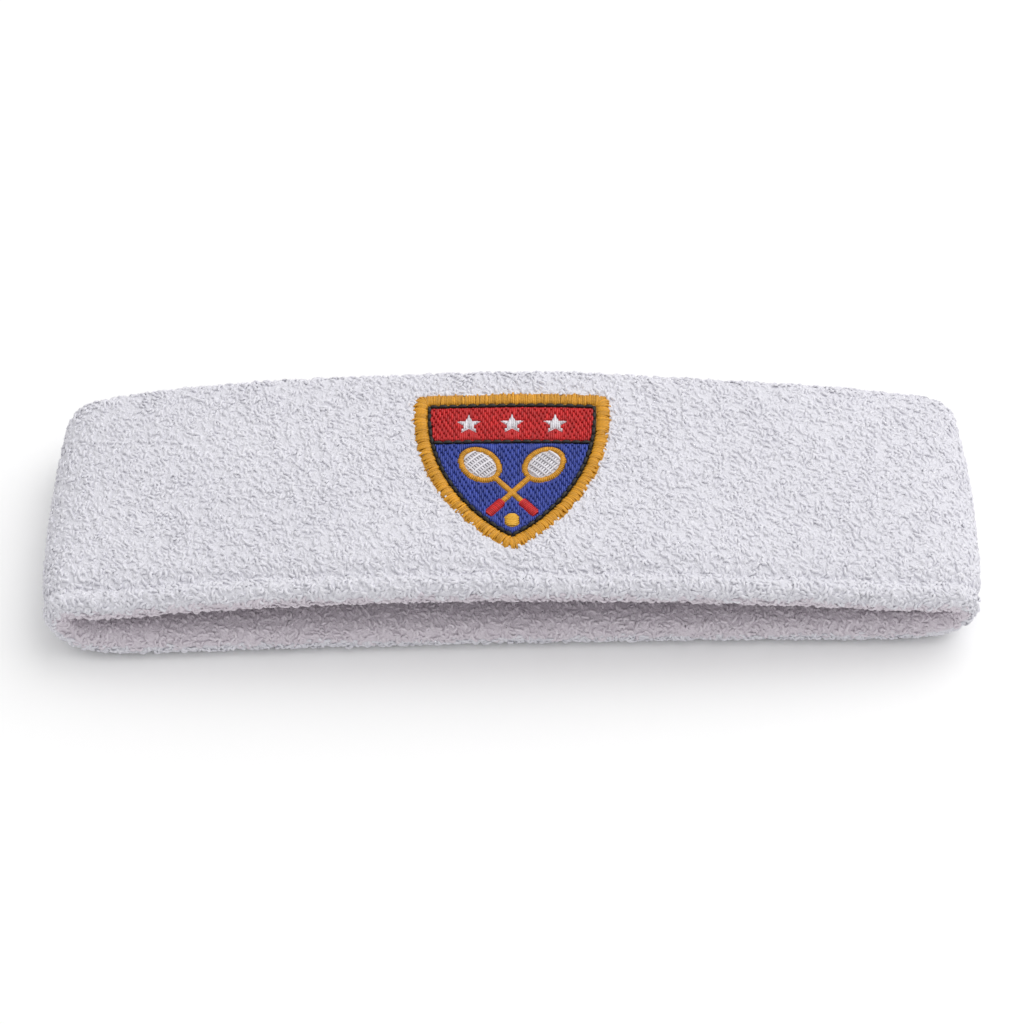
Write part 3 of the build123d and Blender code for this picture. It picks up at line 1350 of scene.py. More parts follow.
@dataclass
class TerryPile:
    """Thousands of uncut cotton loops on the ground, parted at the badge and along the seam."""

    band: Band
    ground: GroundKnit
    yarn_mm: float = 0.56
    face_spacing_mm: float = 0.56
    under_spacing_mm: float = 1.2
    skin_spacing_mm: float = 0.62
    deep_spacing_mm: float = 1.7
    deep_from_mm: float = 8.5  # from the band's edge, where the inside is out of sight
    tries: float = 3.2  # places tried for each loop that would fit
    crowded_at: float = 0.6  # height at which loops stay clear of each other, in the pile
    flow_mm: float = 6.0  # over this distance the lie of the loops changes
    stray: float = 0.9  # how much each loop strays from that lie
    combed: float = 0.8  # how strongly the loops' breadth lies across the band
    lean: tuple[float, float] = (8.0, 40.0)
    breadth: tuple[float, float] = (0.85, 1.25)
    level: tuple[float, float] = (0.88, 1.04)  # how high loops reach, as a share of the pile
    tones: tuple[float, float] = (0.1, 0.9)
    patch_mm: float = 18.0  # over this distance the cloth's tone drifts
    patch_strength: float = 0.35
    bed_level: float = 0.76  # up to here the feet of the loops are packed close
    groove_mm: float = 2.1  # half the width of the parting along the seam
    pressed_mm: float = 0.5  # below this height the band's weight lays the loops flat
    piece_triangles: int = 195_000
    pieces: list[bpy.types.Object] = field(default_factory=list)

    SHAPES = (
        LoopShape(width_mm=1.35, twist=25, curl_mm=0.4),
        LoopShape(width_mm=1.1, twist=-50, curl_mm=0.6),
        LoopShape(width_mm=1.65, twist=35, curl_mm=0.3),
        LoopShape(width_mm=1.25, twist=-20, curl_mm=0.7),
    )

    def sample(self, rng: np.random.Generator) -> dict[str, np.ndarray]:
        """Draws points evenly over the ground's outer face.

        Args:
            rng: The source of random numbers.

        Returns:
            Each point's drawn place, its place as the cloth lies, and its normal there.
        """
        mesh = self.ground.skin.data
        mesh.calc_loop_triangles()
        triangles = np.empty(len(mesh.loop_triangles) * 3, dtype=np.int32)
        mesh.loop_triangles.foreach_get("vertices", triangles)
        triangles = triangles.reshape(-1, 3)
        lies, normals = points_of(self.ground.skin), normals_of(self.ground.skin)
        tips = lies + normals * self.band.pile
        a, b, c = (tips[triangles[:, n]] for n in range(3))
        areas = np.linalg.norm(np.cross(b - a, c - a), axis=1) / 2
        count = int(self.tries * areas.sum() / (self.face_spacing_mm * MM) ** 2)
        chosen = rng.choice(len(triangles), size=count, p=areas / areas.sum())
        u, v = rng.random(count), rng.random(count)
        over = u + v > 1
        u[over], v[over] = 1 - u[over], 1 - v[over]
        weights = np.stack([1 - u - v, u, v], axis=1)[:, :, None]
        corners = triangles[chosen]
        return {
            "drawn": (self.ground.drawn[corners] * weights).sum(axis=1),
            "lies": (lies[corners] * weights).sum(axis=1),
            "normal": unit((normals[corners] * weights).sum(axis=1)),
        }

    def on_badge(self, drawn: np.ndarray, depth: np.ndarray) -> np.ndarray:
        """Marks the points that lie under the badge's stitches.

        Args:
            drawn: Points in their drawn places.
            depth: Their depth in the wall.

        Returns:
            True for each point that the badge covers.
        """
        plate = node_copy("badge_underlay", "badge_plate")
        tree = BVHTree.FromObject(plate, bpy.context.evaluated_depsgraph_get())
        bpy.data.objects.remove(plate)
        low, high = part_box("badge_border")
        above, down = high.z + ABOVE, Vector((0, 0, -1))
        front = (depth > 0) & (drawn[:, 2] > self.band.height / 2)
        inside = (drawn[:, 0] > low.x) & (drawn[:, 0] < high.x)
        inside &= (drawn[:, 1] > low.y) & (drawn[:, 1] < high.y) & front
        covered = np.zeros(len(drawn), dtype=bool)
        for number in np.flatnonzero(inside):
            x, y, _ = drawn[number]
            covered[number] = tree.ray_cast(Vector((x, y, above)), down)[0] is not None
        return covered

    def directions(
        self, places: np.ndarray, normals: np.ndarray, rng: np.random.Generator
    ) -> np.ndarray:
        """Gives each loop a direction along the cloth that flows like its neighbours'.

        Args:
            places: The loops' places.
            normals: The cloth's normals there.
            rng: The source of random numbers.

        Returns:
            One direction for each loop, along the cloth.
        """
        scale = 1 / (self.flow_mm * MM)
        flow = np.array([noise.noise_vector(Vector(p) * scale) for p in places])
        flow = unit(flow) + rng.normal(0.0, self.stray, flow.shape)
        flow[:, 1] += np.copysign(self.combed, flow[:, 1])
        flow -= (flow * normals).sum(axis=1)[:, None] * normals
        return unit(flow)

    def spacing_of(self, drawn: np.ndarray, depth: np.ndarray) -> np.ndarray:
        """Says how far apart loops stand: close where they show, wider where they don't.

        Args:
            drawn: Points in their drawn places.
            depth: Their depth in the wall.

        Returns:
            The spacing at each point.
        """
        hidden = np.abs(drawn[:, 1]) < self.band.width / 2 - self.deep_from_mm * MM
        under = drawn[:, 2] < 2 * self.band.pile
        spacing_mm = np.select(
            [(depth > 0) & hidden & under, depth > 0, hidden],
            [self.under_spacing_mm, self.face_spacing_mm, self.deep_spacing_mm],
            self.skin_spacing_mm,
        )
        return spacing_mm * MM

    def scatter(self, rng: np.random.Generator) -> dict[str, np.ndarray]:
        """Chooses where loops stand: clear of the badge, the seam and each other.

        Args:
            rng: The source of random numbers.

        Returns:
            Each loop's place, normal, depth in the wall and turn round the band.
        """
        found = self.sample(rng)
        drawn = found["drawn"]
        depth, found["turn"] = self.band.where(drawn)
        found["depth"], found["spacing"] = depth, self.spacing_of(drawn, depth)
        parted = (depth < 0) & (np.abs(drawn[:, 1]) < (self.groove_mm + self.yarn_mm) * MM)
        free = ~parted & ~self.on_badge(drawn, depth)
        found = {key: rows[free] for key, rows in found.items()}
        middle = found["lies"] + found["normal"] * self.band.pile * self.crowded_at
        kept = thin_out(middle, found["spacing"])
        log.info("%d loops of %d tries", len(kept), len(middle))
        return {key: rows[kept] for key, rows in found.items()}

    def tones_of(self, places: np.ndarray, rng: np.random.Generator) -> np.ndarray:
        """Gives each loop its tone: its own, and a drift that it shares with its neighbours.

        Args:
            places: The loops' places.
            rng: The source of random numbers.

        Returns:
            The tones, from 0 to 1.
        """
        own = rng.uniform(*self.tones, len(places))
        drift = [noise.noise(Vector(place) / (self.patch_mm * MM)) for place in places]
        return np.clip(own + self.patch_strength * np.array(drift), 0, 1)

    def build(self) -> list[bpy.types.Object]:
        """Stands the loops on the ground, each with its own lean, turn, height and tone.

        Returns:
            The pieces of pile: the face, the skin side and the bed under both.
        """
        rng = np.random.default_rng(SEED)
        loops = self.scatter(rng)
        lies, normal = loops["lies"], loops["normal"]
        side = self.directions(lies, normal, rng)
        lean = np.radians(rng.uniform(*self.lean, len(lies)))[:, None]
        across = np.cross(normal, side)
        up = np.cos(lean) * normal + np.sin(lean) * across
        back = np.cos(lean) * across - np.sin(lean) * normal
        breadth = rng.uniform(*self.breadth, len(lies))[:, None]
        loops["axes"] = np.stack([side * breadth, back * breadth, up], axis=1)
        stamps = [shape.model(self.yarn_mm) for shape in self.SHAPES]
        loops["kind"] = rng.integers(0, len(stamps), len(lies))
        heights = np.array([stamp.points[:, 2].max() for stamp in stamps])[loops["kind"]]
        reach = rng.uniform(*self.level, len(lies)) * self.band.pile
        loops["root"] = lies + normal * (reach[:, None] - heights[:, None] * np.cos(lean))
        loops["tone"] = self.tones_of(lies, rng)
        for label, node, finish, chosen in (
            ("face", "pile_outside", CottonTerry(), loops["depth"] > 0),
            # the skin side's loops take the whites that paint the shade inside the loop
            ("skin", "pile_skin_side", SHADED_SKIN_SIDE, loops["depth"] <= 0),
        ):
            own = {key: rows[chosen] for key, rows in loops.items()}
            for piece in self.press_side(f"terry_{label}", own, stamps):
                self.pieces.append(hand_in(piece, finish, node))
        self.pieces.append(self.build_bed())
        return self.pieces

    def press_side(
        self, name: str, loops: dict[str, np.ndarray], stamps: list[Stamp]
    ) -> Iterator[bpy.types.Object]:
        """Presses one side's loops into pieces, split by their way round the band.

        Args:
            name: The pieces' name, which a number follows.
            loops: The side's loops: root, axes, kind, tone and turn.
            stamps: The loop of each kind.

        Yields:
            The pieces, each small enough.
        """
        each = int(np.sum(stamps[0].face_sizes - 2))
        order = np.argsort(loops["turn"])
        shares = np.array_split(order, math.ceil(len(order) / (self.piece_triangles // each)))
        for number, share in enumerate(shares, 1):
            parts, tones = [], []
            for kind, stamp in enumerate(stamps):
                own = share[loops["kind"][share] == kind]
                placed = loops["root"][own][:, None, :] + stamp.points @ loops["axes"][own]
                parts.append((stamp, self.lay_flat(placed)))
                tones.append(loops["tone"][own])
            yield press(f"{name}_{number}", parts, {"tone": tones})

    def build_bed(self) -> bpy.types.Object:
        """Makes the close-packed feet of the loops as one layer on the ground.

        Returns:
            The layer, open at the badge and along the seam.
        """
        piece = copy_of(self.ground.skin, "terry_feet")
        drawn = self.ground.drawn
        depth, _ = self.band.where(drawn)
        parted = (depth < 0) & (np.abs(drawn[:, 1]) < self.groove_mm * MM)
        covered = parted | self.on_badge(drawn, depth)
        tone = piece.data.attributes.new("tone", "FLOAT", "POINT")
        # tone 1 on the face and 0 on the skin side picks that side's painted-shade white for the
        # feet
        tone.data.foreach_set("value", (depth > 0).astype(np.float32))
        with editing(piece):
            bpy.ops.mesh.select_mode(type="FACE")
            shape = bmesh.from_edit_mesh(piece.data)
            for face in shape.faces:
                face.select_set(all(covered[corner.index] for corner in face.verts))
            bmesh.update_edit_mesh(piece.data)
            bpy.ops.mesh.delete(type="FACE")
            bpy.ops.mesh.select_mode(type="VERT")
        apply_modifier(piece, "SOLIDIFY", thickness=self.bed_level * self.band.pile, offset=1.0)
        smooth(piece)
        return hand_in(piece, SHADED_PACKED_FEET, "pile_outside", "pile_skin_side")

    def lay_flat(self, placed: np.ndarray) -> np.ndarray:
        """Presses what hangs below the resting height flat, as the band's weight does.

        Args:
            placed: Points of loops, with x, y and z last.

        Returns:
            The same points, all of them above the ground.
        """
        level = self.pressed_mm * MM
        z = placed[..., 2]
        placed[..., 2] = np.where(z < level, level * np.exp((z - level) / level), z)
        return placed


# ------------------------------------------------------------------ stitches


class Lay(Enum):
    """How the stitches of an area are laid."""

    SATIN = "side by side, right across"
    FILL = "in rows of short stitches, offset like bricks"


@dataclass
class Needle:
    """Sews straight stitches: each one a bowed piece of thread that dips in at both ends."""

    band: Band
    depth: float
    width_mm: float = 0.46
    rise_mm: float = 0.16
    dip_mm: float = 0.22
    shortest_mm: float = 0.25  # a shorter stitch is left out
    full_length_mm: float = 1.5  # a shorter stitch rises less, and a longer one more
    end_width: float = 0.45  # thickness at the ends, as a share of the middle's
    flatness: float = 0.8
    sides: int = 6
    stitches: list[tuple[Vector, Vector]] = field(default_factory=list)

    def lay(self, start: Sequence[float], end: Sequence[float], lift_mm: float = 0.0) -> None:
        """Lays one stitch between two points of the drawing.

        Args:
            start: x and y of one end.
            end: x and y of the other end.
            lift_mm: How much higher it lies than the others.
        """
        depth = self.depth + lift_mm * MM
        first, last = (self.band.on_crown(x, y, depth) for x, y in (start, end))
        if (last - first).length > self.shortest_mm * MM:
            self.stitches.append((first, last))

    def thread(self) -> Stamp:
        """Models one piece of thread along X, from 0 to 1, with a radius of one.

        Returns:
            The thread as a stamp.
        """
        bpy.ops.object.select_all(action="DESELECT")
        bpy.ops.mesh.primitive_cylinder_add(
            vertices=self.sides, radius=1.0, depth=1.0, location=(0, 0, 0)
        )
        piece = bpy.context.active_object
        piece.matrix_world = Matrix(((0, 0, 1, 0.5), (1, 0, 0, 0), (0, 1, 0, 0), (0, 0, 0, 1)))
        settle(piece)
        with editing(piece):
            for cut in (0.1, 0.3, 0.5, 0.7, 0.9):
                bpy.ops.mesh.select_all(action="SELECT")
                bpy.ops.mesh.bisect(plane_co=(cut, 0, 0), plane_no=(1, 0, 0))
            bpy.ops.mesh.select_all(action="SELECT")
            bpy.ops.mesh.normals_make_consistent(inside=False)
        return Stamp.taken_from(piece)

    def sew(self, name: str, rng: np.random.Generator) -> bpy.types.Object:
        """Makes all stitches laid so far into one piece.

        Args:
            name: The piece's name.
            rng: The source of random numbers.

        Returns:
            The stitches as one object.
        """
        stamp = self.thread()
        starts = np.array([first for first, _ in self.stitches])
        ends = np.array([last for _, last in self.stitches])
        count = len(starts)
        run = ends - starts
        length = np.linalg.norm(run, axis=1)
        ups = np.array([self.band.up_at(float(x)) for x in (starts + ends)[:, 0] / 2])
        sides = unit(np.cross(ups, run))
        x, y, z = stamp.points.T
        bow = 4 * x * (1 - x)
        slim = self.end_width + (1 - self.end_width) * np.clip(bow * 1.6, 0, 1)
        radius = rng.uniform(0.92, 1.08, count) * self.width_mm * MM / 2
        rise = self.rise_mm * MM * np.clip(length / (self.full_length_mm * MM), 0.6, 1.3)
        lift = rise[:, None] * bow - self.dip_mm * MM * (1 - np.clip(bow * 2.2, 0, 1))
        placed = (
            starts[:, None, :]
            + run[:, None, :] * x[None, :, None]
            + sides[:, None, :] * (radius[:, None] * y * slim)[:, :, None]
            + ups[:, None, :] * (radius[:, None] * z * slim * self.flatness + lift)[:, :, None]
        )
        ply = np.empty((count, len(x), 3))
        ply[:, :, 0] = x * length[:, None] / MM + rng.uniform(0, 1, count)[:, None]
        ply[:, :, 1], ply[:, :, 2] = y, z
        tone = np.clip(rng.normal(0.5, 0.22, count), 0, 1)
        return press(name, [(stamp, placed)], {"tone": [tone], "ply": [ply]})


@dataclass
class Area:
    """One thread area of the badge, taken from its CAD node."""

    band: Band
    node: str
    colour: ThreadColour
    lay: Lay = Lay.FILL
    angle: float = 0.0
    pitch_mm: float = 0.4
    stitch_mm: float = 3.0
    probe_mm: float = 0.06  # step at which a row is tested for being inside
    shortest_mm: float = 0.3  # a shorter stretch is left out
    brick_step: float = 0.37  # shift from one row's stitches to the next's, as a share
    tree: BVHTree = field(init=False)
    rims: list[np.ndarray] = field(init=False)
    middle: np.ndarray = field(init=False)
    reach: float = field(init=False)
    above: float = field(init=False)

    def __post_init__(self) -> None:
        """Keeps the node's shape for asking what lies inside it."""
        body = node_copy(self.node, "area_outline")
        self.tree = BVHTree.FromObject(body, bpy.context.evaluated_depsgraph_get())
        self.rims = top_rims(body)
        bpy.data.objects.remove(body)
        low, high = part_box(self.node)
        self.middle = np.array([(low.x + high.x) / 2, (low.y + high.y) / 2])
        self.reach = math.hypot(high.x - low.x, high.y - low.y) / 2
        self.above = high.z + ABOVE

    def inside(self, x: float, y: float) -> bool:
        """Tells whether a point of the drawing lies in the area."""
        return self.tree.ray_cast(Vector((x, y, self.above)), Vector((0, 0, -1)))[0] is not None

    def rows(self) -> Iterator[tuple[int, np.ndarray, np.ndarray]]:
        """Finds the stretches where rows across the area run inside it.

        Yields:
            The row's number and the two ends of each stretch.
        """
        angle = math.radians(self.angle)
        along = np.array([math.cos(angle), math.sin(angle)])
        over = np.array([-along[1], along[0]])
        pitch, step = self.pitch_mm * MM, self.probe_mm * MM
        half = int(self.reach / pitch) + 1
        for row in range(-half, half + 1):
            base = self.middle + over * row * pitch
            marks = np.arange(-self.reach - step, self.reach + 2 * step, step)
            start = None
            for mark in marks:
                x, y = base + along * mark
                if self.inside(x, y):
                    start = mark if start is None else start
                elif start is not None:
                    yield row, base + along * start, base + along * (mark - step)
                    start = None

    def sew_rows(self, needle: Needle, rng: np.random.Generator) -> None:
        """Fills the area with rows of stitches.

        Args:
            needle: The needle that lays them.
            rng: The source of random numbers.
        """
        for row, start, end in self.rows():
            run = end - start
            length = float(np.linalg.norm(run))
            if length < self.shortest_mm * MM:
                continue
            way = run / length
            ends = [0.0, length]
            stitch = self.stitch_mm * MM
            if self.lay is Lay.FILL and length > 1.4 * stitch:
                offset = (row * self.brick_step % 1.0) * stitch + rng.uniform(-0.1, 0.1) * stitch
                first = (-float(start @ way) + offset) % stitch
                inner = np.arange(first, length, stitch)
                inner = inner[(inner > 0.2 * stitch) & (inner < length - 0.2 * stitch)]
                ends = [0.0, *inner, length]
            for low, high in zip(ends, ends[1:]):
                needle.lay(start + way * low, start + way * high)

    def bed(self, name: str, form: SoftForm, drop_mm: float = 0.26) -> bpy.types.Object:
        """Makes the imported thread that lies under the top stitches.

        Args:
            name: The bed's name.
            form: How the cloth lies.
            drop_mm: How far its face lies below the top of the stitches.

        Returns:
            The bed as an object with the marks that a thread finish reads.
        """
        body = node_copy(self.node, name)
        with editing(body):
            bpy.ops.mesh.select_all(action="SELECT")
            bpy.ops.transform.translate(value=(0, 0, -drop_mm * MM))
        mark_as_thread(body)
        return form.shape(body)


def mark_as_thread(piece: bpy.types.Object, level: float = 0.35) -> None:
    """Gives a piece the tone and ply marks that a thread finish reads.

    Args:
        piece: A piece that isn't made of stamped stitches.
        level: Its tone all over.
    """
    places = points_of(piece) / MM
    tone = np.full(len(places), level, dtype=np.float32)
    ply = np.stack([places[:, 0] + places[:, 1], places[:, 1] * 0 + 1, places[:, 1] * 0], axis=1)
    piece.data.attributes.new("tone", "FLOAT", "POINT").data.foreach_set("value", tone)
    marks = piece.data.attributes.new("ply", "FLOAT_VECTOR", "POINT")
    marks.data.foreach_set("vector", ply.astype(np.float32).ravel())


def top_rims(body: bpy.types.Object, upward: float = 0.6, fewest: int = 6) -> list[np.ndarray]:
    """Traces the edges round the upper face of a solid.

    Args:
        body: A flat solid that lies face up.
        upward: How far up a face's normal points if it belongs to the upper face.
        fewest: A ring of fewer points isn't an edge of the face.

    Returns:
        Each closed edge as rows of x and y, the longest first.
    """
    shape = bmesh.new()
    shape.from_mesh(body.data)
    step = {}
    for edge in shape.edges:
        tops = [face for face in edge.link_faces if face.normal.z > upward]
        if len(tops) == 1 and len(edge.link_faces) == 2:
            for a, b in (edge.verts, reversed(edge.verts)):
                step.setdefault(a.index, []).append(b.index)
    shape.verts.ensure_lookup_table()
    places = {index: shape.verts[index].co.copy() for index in step}
    shape.free()
    rims = []
    while step:
        first = next(iter(step))
        chain, last, here = [first], None, first
        while True:
            onward = [n for n in step.get(here, ()) if n != last]
            if not onward or onward[0] == first and len(chain) > 2:
                break
            last, here = here, onward[0]
            if here in chain:
                break
            chain.append(here)
        for index in chain:
            step.pop(index, None)
        if len(chain) >= fewest:
            rims.append(np.array([places[index][:2] for index in chain]))
    return sorted(rims, key=lambda rim: -rim_length(rim))


def rim_length(rim: np.ndarray) -> float:
    """Gives the way round a closed line."""
    return float(np.linalg.norm(np.roll(rim, -1, axis=0) - rim, axis=1).sum())


def spaced_out(rim: np.ndarray, pitch: float) -> np.ndarray:
    """Places points evenly round a closed line.

    Args:
        rim: The line's points.
        pitch: About how far apart the new points lie.

    Returns:
        The new points.
    """
    closed = np.vstack([rim, rim[:1]])
    gaps = np.linalg.norm(np.diff(closed, axis=0), axis=1)
    reach = np.concatenate([[0], np.cumsum(gaps)])
    marks = np.linspace(0, reach[-1], max(8, round(reach[-1] / pitch)), endpoint=False)
    return np.stack([np.interp(marks, reach, closed[:, n]) for n in (0, 1)], axis=1)


def nearest(points: np.ndarray, others: np.ndarray) -> np.ndarray:
    """Finds for each point the nearest of some others."""
    gaps = np.linalg.norm(points[:, None, :] - others[None, :, :], axis=2)
    return others[gaps.argmin(axis=1)]


# ------------------------------------------------------------------ the badge


@dataclass
class Badge:
    """The embroidered shield: a satin border, an outline, two filled fields and their charges."""

    band: Band
    form: SoftForm
    border_pitch_mm: float = 0.36
    ragged_mm: float = 0.24  # how unevenly the satin stitches end
    slant_mm: float = 0.12  # how much they slant, one more and one less
    outline_stitch_mm: float = 1.9
    uneven_mm: float = 0.06  # how unevenly the outline's stitches lie
    crown_mm: float = 0.2  # how far the stitches bow up above the place where they are laid
    rim_mm: float = 1.1  # width of a racket's frame
    half_shaft_mm: float = 0.6
    satin_pitch_mm: float = 0.34
    grip_pitch_mm: float = 0.38
    trace_mm: float = 0.05  # step along an edge for finding its nearest point
    depth: float = field(init=False)
    rng: np.random.Generator = field(init=False)
    pieces: list[bpy.types.Object] = field(default_factory=list)

    def __post_init__(self) -> None:
        """Reads how high the stitches lie and starts the random numbers."""
        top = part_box("badge_border")[1].z
        self.depth = top - self.band.crown_z - self.band.crown_radius - self.crown_mm * MM
        self.rng = np.random.default_rng(SEED + 1)

    def needle(self, **settings: float) -> Needle:
        """Threads a needle for this badge."""
        return Needle(self.band, self.depth, **settings)

    def finish(self, area: Area, needle: Needle) -> None:
        """Sews an area's stitches onto its bed and hands the piece in.

        Args:
            area: The area that they fill.
            needle: The needle that laid them.
        """
        name = f"{area.node}_stitches"
        stitches = self.form.shape(needle.sew(name, self.rng))
        bed = area.bed(f"{area.node}_bed", self.form)
        bpy.ops.object.select_all(action="DESELECT")
        bed.select_set(True)
        stitches.select_set(True)
        bpy.context.view_layer.objects.active = stitches
        bpy.ops.object.join()
        self.pieces.append(hand_in(stitches, area.colour.finish(), area.node))

    def build(self) -> list[bpy.types.Object]:
        """Sews the whole badge.

        Returns:
            Its pieces.
        """
        self.build_border()
        self.build_outline()
        for area in (
            Area(self.band, "badge_chief", ThreadColour.RED, angle=90, stitch_mm=2.0),
            Area(self.band, "badge_field", ThreadColour.BLUE, angle=90, stitch_mm=2.2),
            Area(self.band, "badge_stars", ThreadColour.WHITE, Lay.SATIN, angle=90),
            Area(self.band, "badge_ball", ThreadColour.YELLOW, Lay.SATIN, angle=0),
        ):
            needle = self.needle()
            area.sew_rows(needle, self.rng)
            self.finish(area, needle)
        self.build_rackets()
        self.build_under_layers()
        return self.pieces

    def build_border(self) -> None:
        """Sews the gold border: satin stitches from its outer edge to its inner edge."""
        area = Area(self.band, "badge_border", ThreadColour.GOLD, Lay.SATIN)
        needle = self.needle(width_mm=0.48, rise_mm=0.26)
        outer, inner = area.rims[0], area.rims[1]
        starts = spaced_out(outer, self.border_pitch_mm * MM)
        ends = nearest(starts, spaced_out(inner, self.trace_mm * MM))
        for start, end in zip(starts, ends):
            way = (start - end) / max(float(np.linalg.norm(start - end)), 1e-9)
            out, into = self.rng.normal(0.0, self.ragged_mm * MM, 2)
            slant = np.array([-way[1], way[0]]) * self.rng.normal(0.0, self.slant_mm * MM)
            needle.lay(start + way * out + slant, end - way * into * 0.4)
        self.finish(area, needle)

    def build_outline(self) -> None:
        """Sews the black outline and divider: run stitches, end to end along a line."""
        area = Area(self.band, "badge_outline", ThreadColour.BLACK)
        needle = self.needle(width_mm=0.72, rise_mm=0.14)
        outer, windows = area.rims[0], area.rims[1:]
        around = spaced_out(outer, self.outline_stitch_mm * MM)
        inner = np.vstack([spaced_out(window, self.trace_mm * MM) for window in windows])
        partner = nearest(around, inner)
        gap = np.linalg.norm(partner - around, axis=1)
        usual = float(np.median(gap))
        way = (partner - around) / np.maximum(gap, 1e-9)[:, None]
        line = around + way * usual / 2
        for start, end in zip(line, np.roll(line, -1, axis=0)):
            needle.lay(start, end, float(self.rng.uniform(0.0, self.uneven_mm)))
        low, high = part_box("badge_field")
        chief_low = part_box("badge_chief")[0].y
        y = (high.y + chief_low) / 2
        half = (high.x - low.x) / 2 + usual / 2
        marks = np.linspace(-half, half, round(2 * half / (self.outline_stitch_mm * MM)) + 1)
        for start, end in zip(marks, marks[1:]):
            needle.lay((start, y), (end, y), float(self.rng.uniform(0.0, self.uneven_mm)))
        self.finish(area, needle)

    def build_rackets(self) -> None:
        """Sews the crossed rackets: strung heads, satin frames and shafts, and grips."""
        strings = Area(self.band, "racket_strings", ThreadColour.WHITE, Lay.SATIN)
        frames = Area(self.band, "racket_frames", ThreadColour.GOLD, Lay.SATIN)
        grips = Area(self.band, "racket_grips", ThreadColour.RED, Lay.SATIN)
        heads = sorted(strings.rims[:2], key=lambda rim: rim[:, 0].mean())
        ends = sorted(grips.rims[:2], key=lambda rim: rim[:, 0].mean())
        rim, half_shaft = self.rim_mm * MM, self.half_shaft_mm * MM
        pitch, grip_pitch = self.satin_pitch_mm * MM, self.grip_pitch_mm * MM
        string_needle = self.needle(width_mm=0.42)
        frame_needle = self.needle(width_mm=0.44, rise_mm=0.2)
        grip_needle = self.needle(width_mm=0.44, rise_mm=0.18)
        for head, end in zip(heads, reversed(ends)):
            middle, foot = head.mean(axis=0), end.mean(axis=0)
            axis = (foot - middle) / np.linalg.norm(foot - middle)
            over = np.array([-axis[1], axis[0]])
            self.sew_strings(string_needle, head, middle, axis, over)
            for point in spaced_out(head, pitch):
                out = (point - middle) / np.linalg.norm(point - middle)
                frame_needle.lay(point - out * 0.1 * MM, point + out * rim)
            reach = np.abs((head - middle) @ axis).max() + rim
            stop = (foot - middle) @ axis - np.abs((end - foot) @ axis).max()
            for mark in np.arange(reach - 0.2 * MM, stop, pitch):
                at = middle + axis * mark
                frame_needle.lay(at - over * half_shaft, at + over * half_shaft, lift_mm=0.03)
            half_long = np.abs((end - foot) @ axis).max()
            half_wide = np.abs((end - foot) @ over).max()
            for mark in np.arange(-half_long + 0.15 * MM, half_long, grip_pitch):
                at = foot + axis * mark
                grip_needle.lay(at - over * half_wide, at + over * half_wide)
        self.finish(strings, string_needle)
        self.finish(frames, frame_needle)
        self.finish(grips, grip_needle)

    def sew_strings(
        self,
        needle: Needle,
        head: np.ndarray,
        middle: np.ndarray,
        axis: np.ndarray,
        over: np.ndarray,
    ) -> None:
        """Strings one racket head: close threads along it and a few across on top.

        Args:
            needle: The needle that lays them.
            head: The edge of the strung part.
            middle: Its middle.
            axis: The racket's direction.
            over: The direction across it.
        """
        long = np.abs((head - middle) @ axis).max()
        wide = np.abs((head - middle) @ over).max()
        for pitch, lift, way, half, side, reach in (
            (0.56, 0.0, axis, long, over, wide),
            (1.2, 0.22, over, wide, axis, long),
        ):
            marks = np.arange(pitch / 2, reach / MM - 0.2, pitch) * MM
            for mark in np.concatenate([-marks, marks]):
                run = half * math.sqrt(max(0.0, 1 - (mark / reach) ** 2))
                at = middle + side * mark
                needle.lay(at - way * run, at + way * run, lift_mm=lift)

    def build_under_layers(self) -> None:
        """Shapes what lies under the top stitches: underlay, backing and bobbin thread."""
        for node, finish in (
            ("badge_underlay", UNDERLAY_THREAD),
            ("bobbin_thread", BOBBIN_THREAD),
            ("embroidery_backing", SoftNonWoven()),
        ):
            piece = node_copy(node, f"{node}_layer")
            mark_as_thread(piece)
            self.form.shape(piece)
            smooth(piece)
            self.pieces.append(hand_in(piece, finish, node))


# ------------------------------------------------------------------ seam and elastic


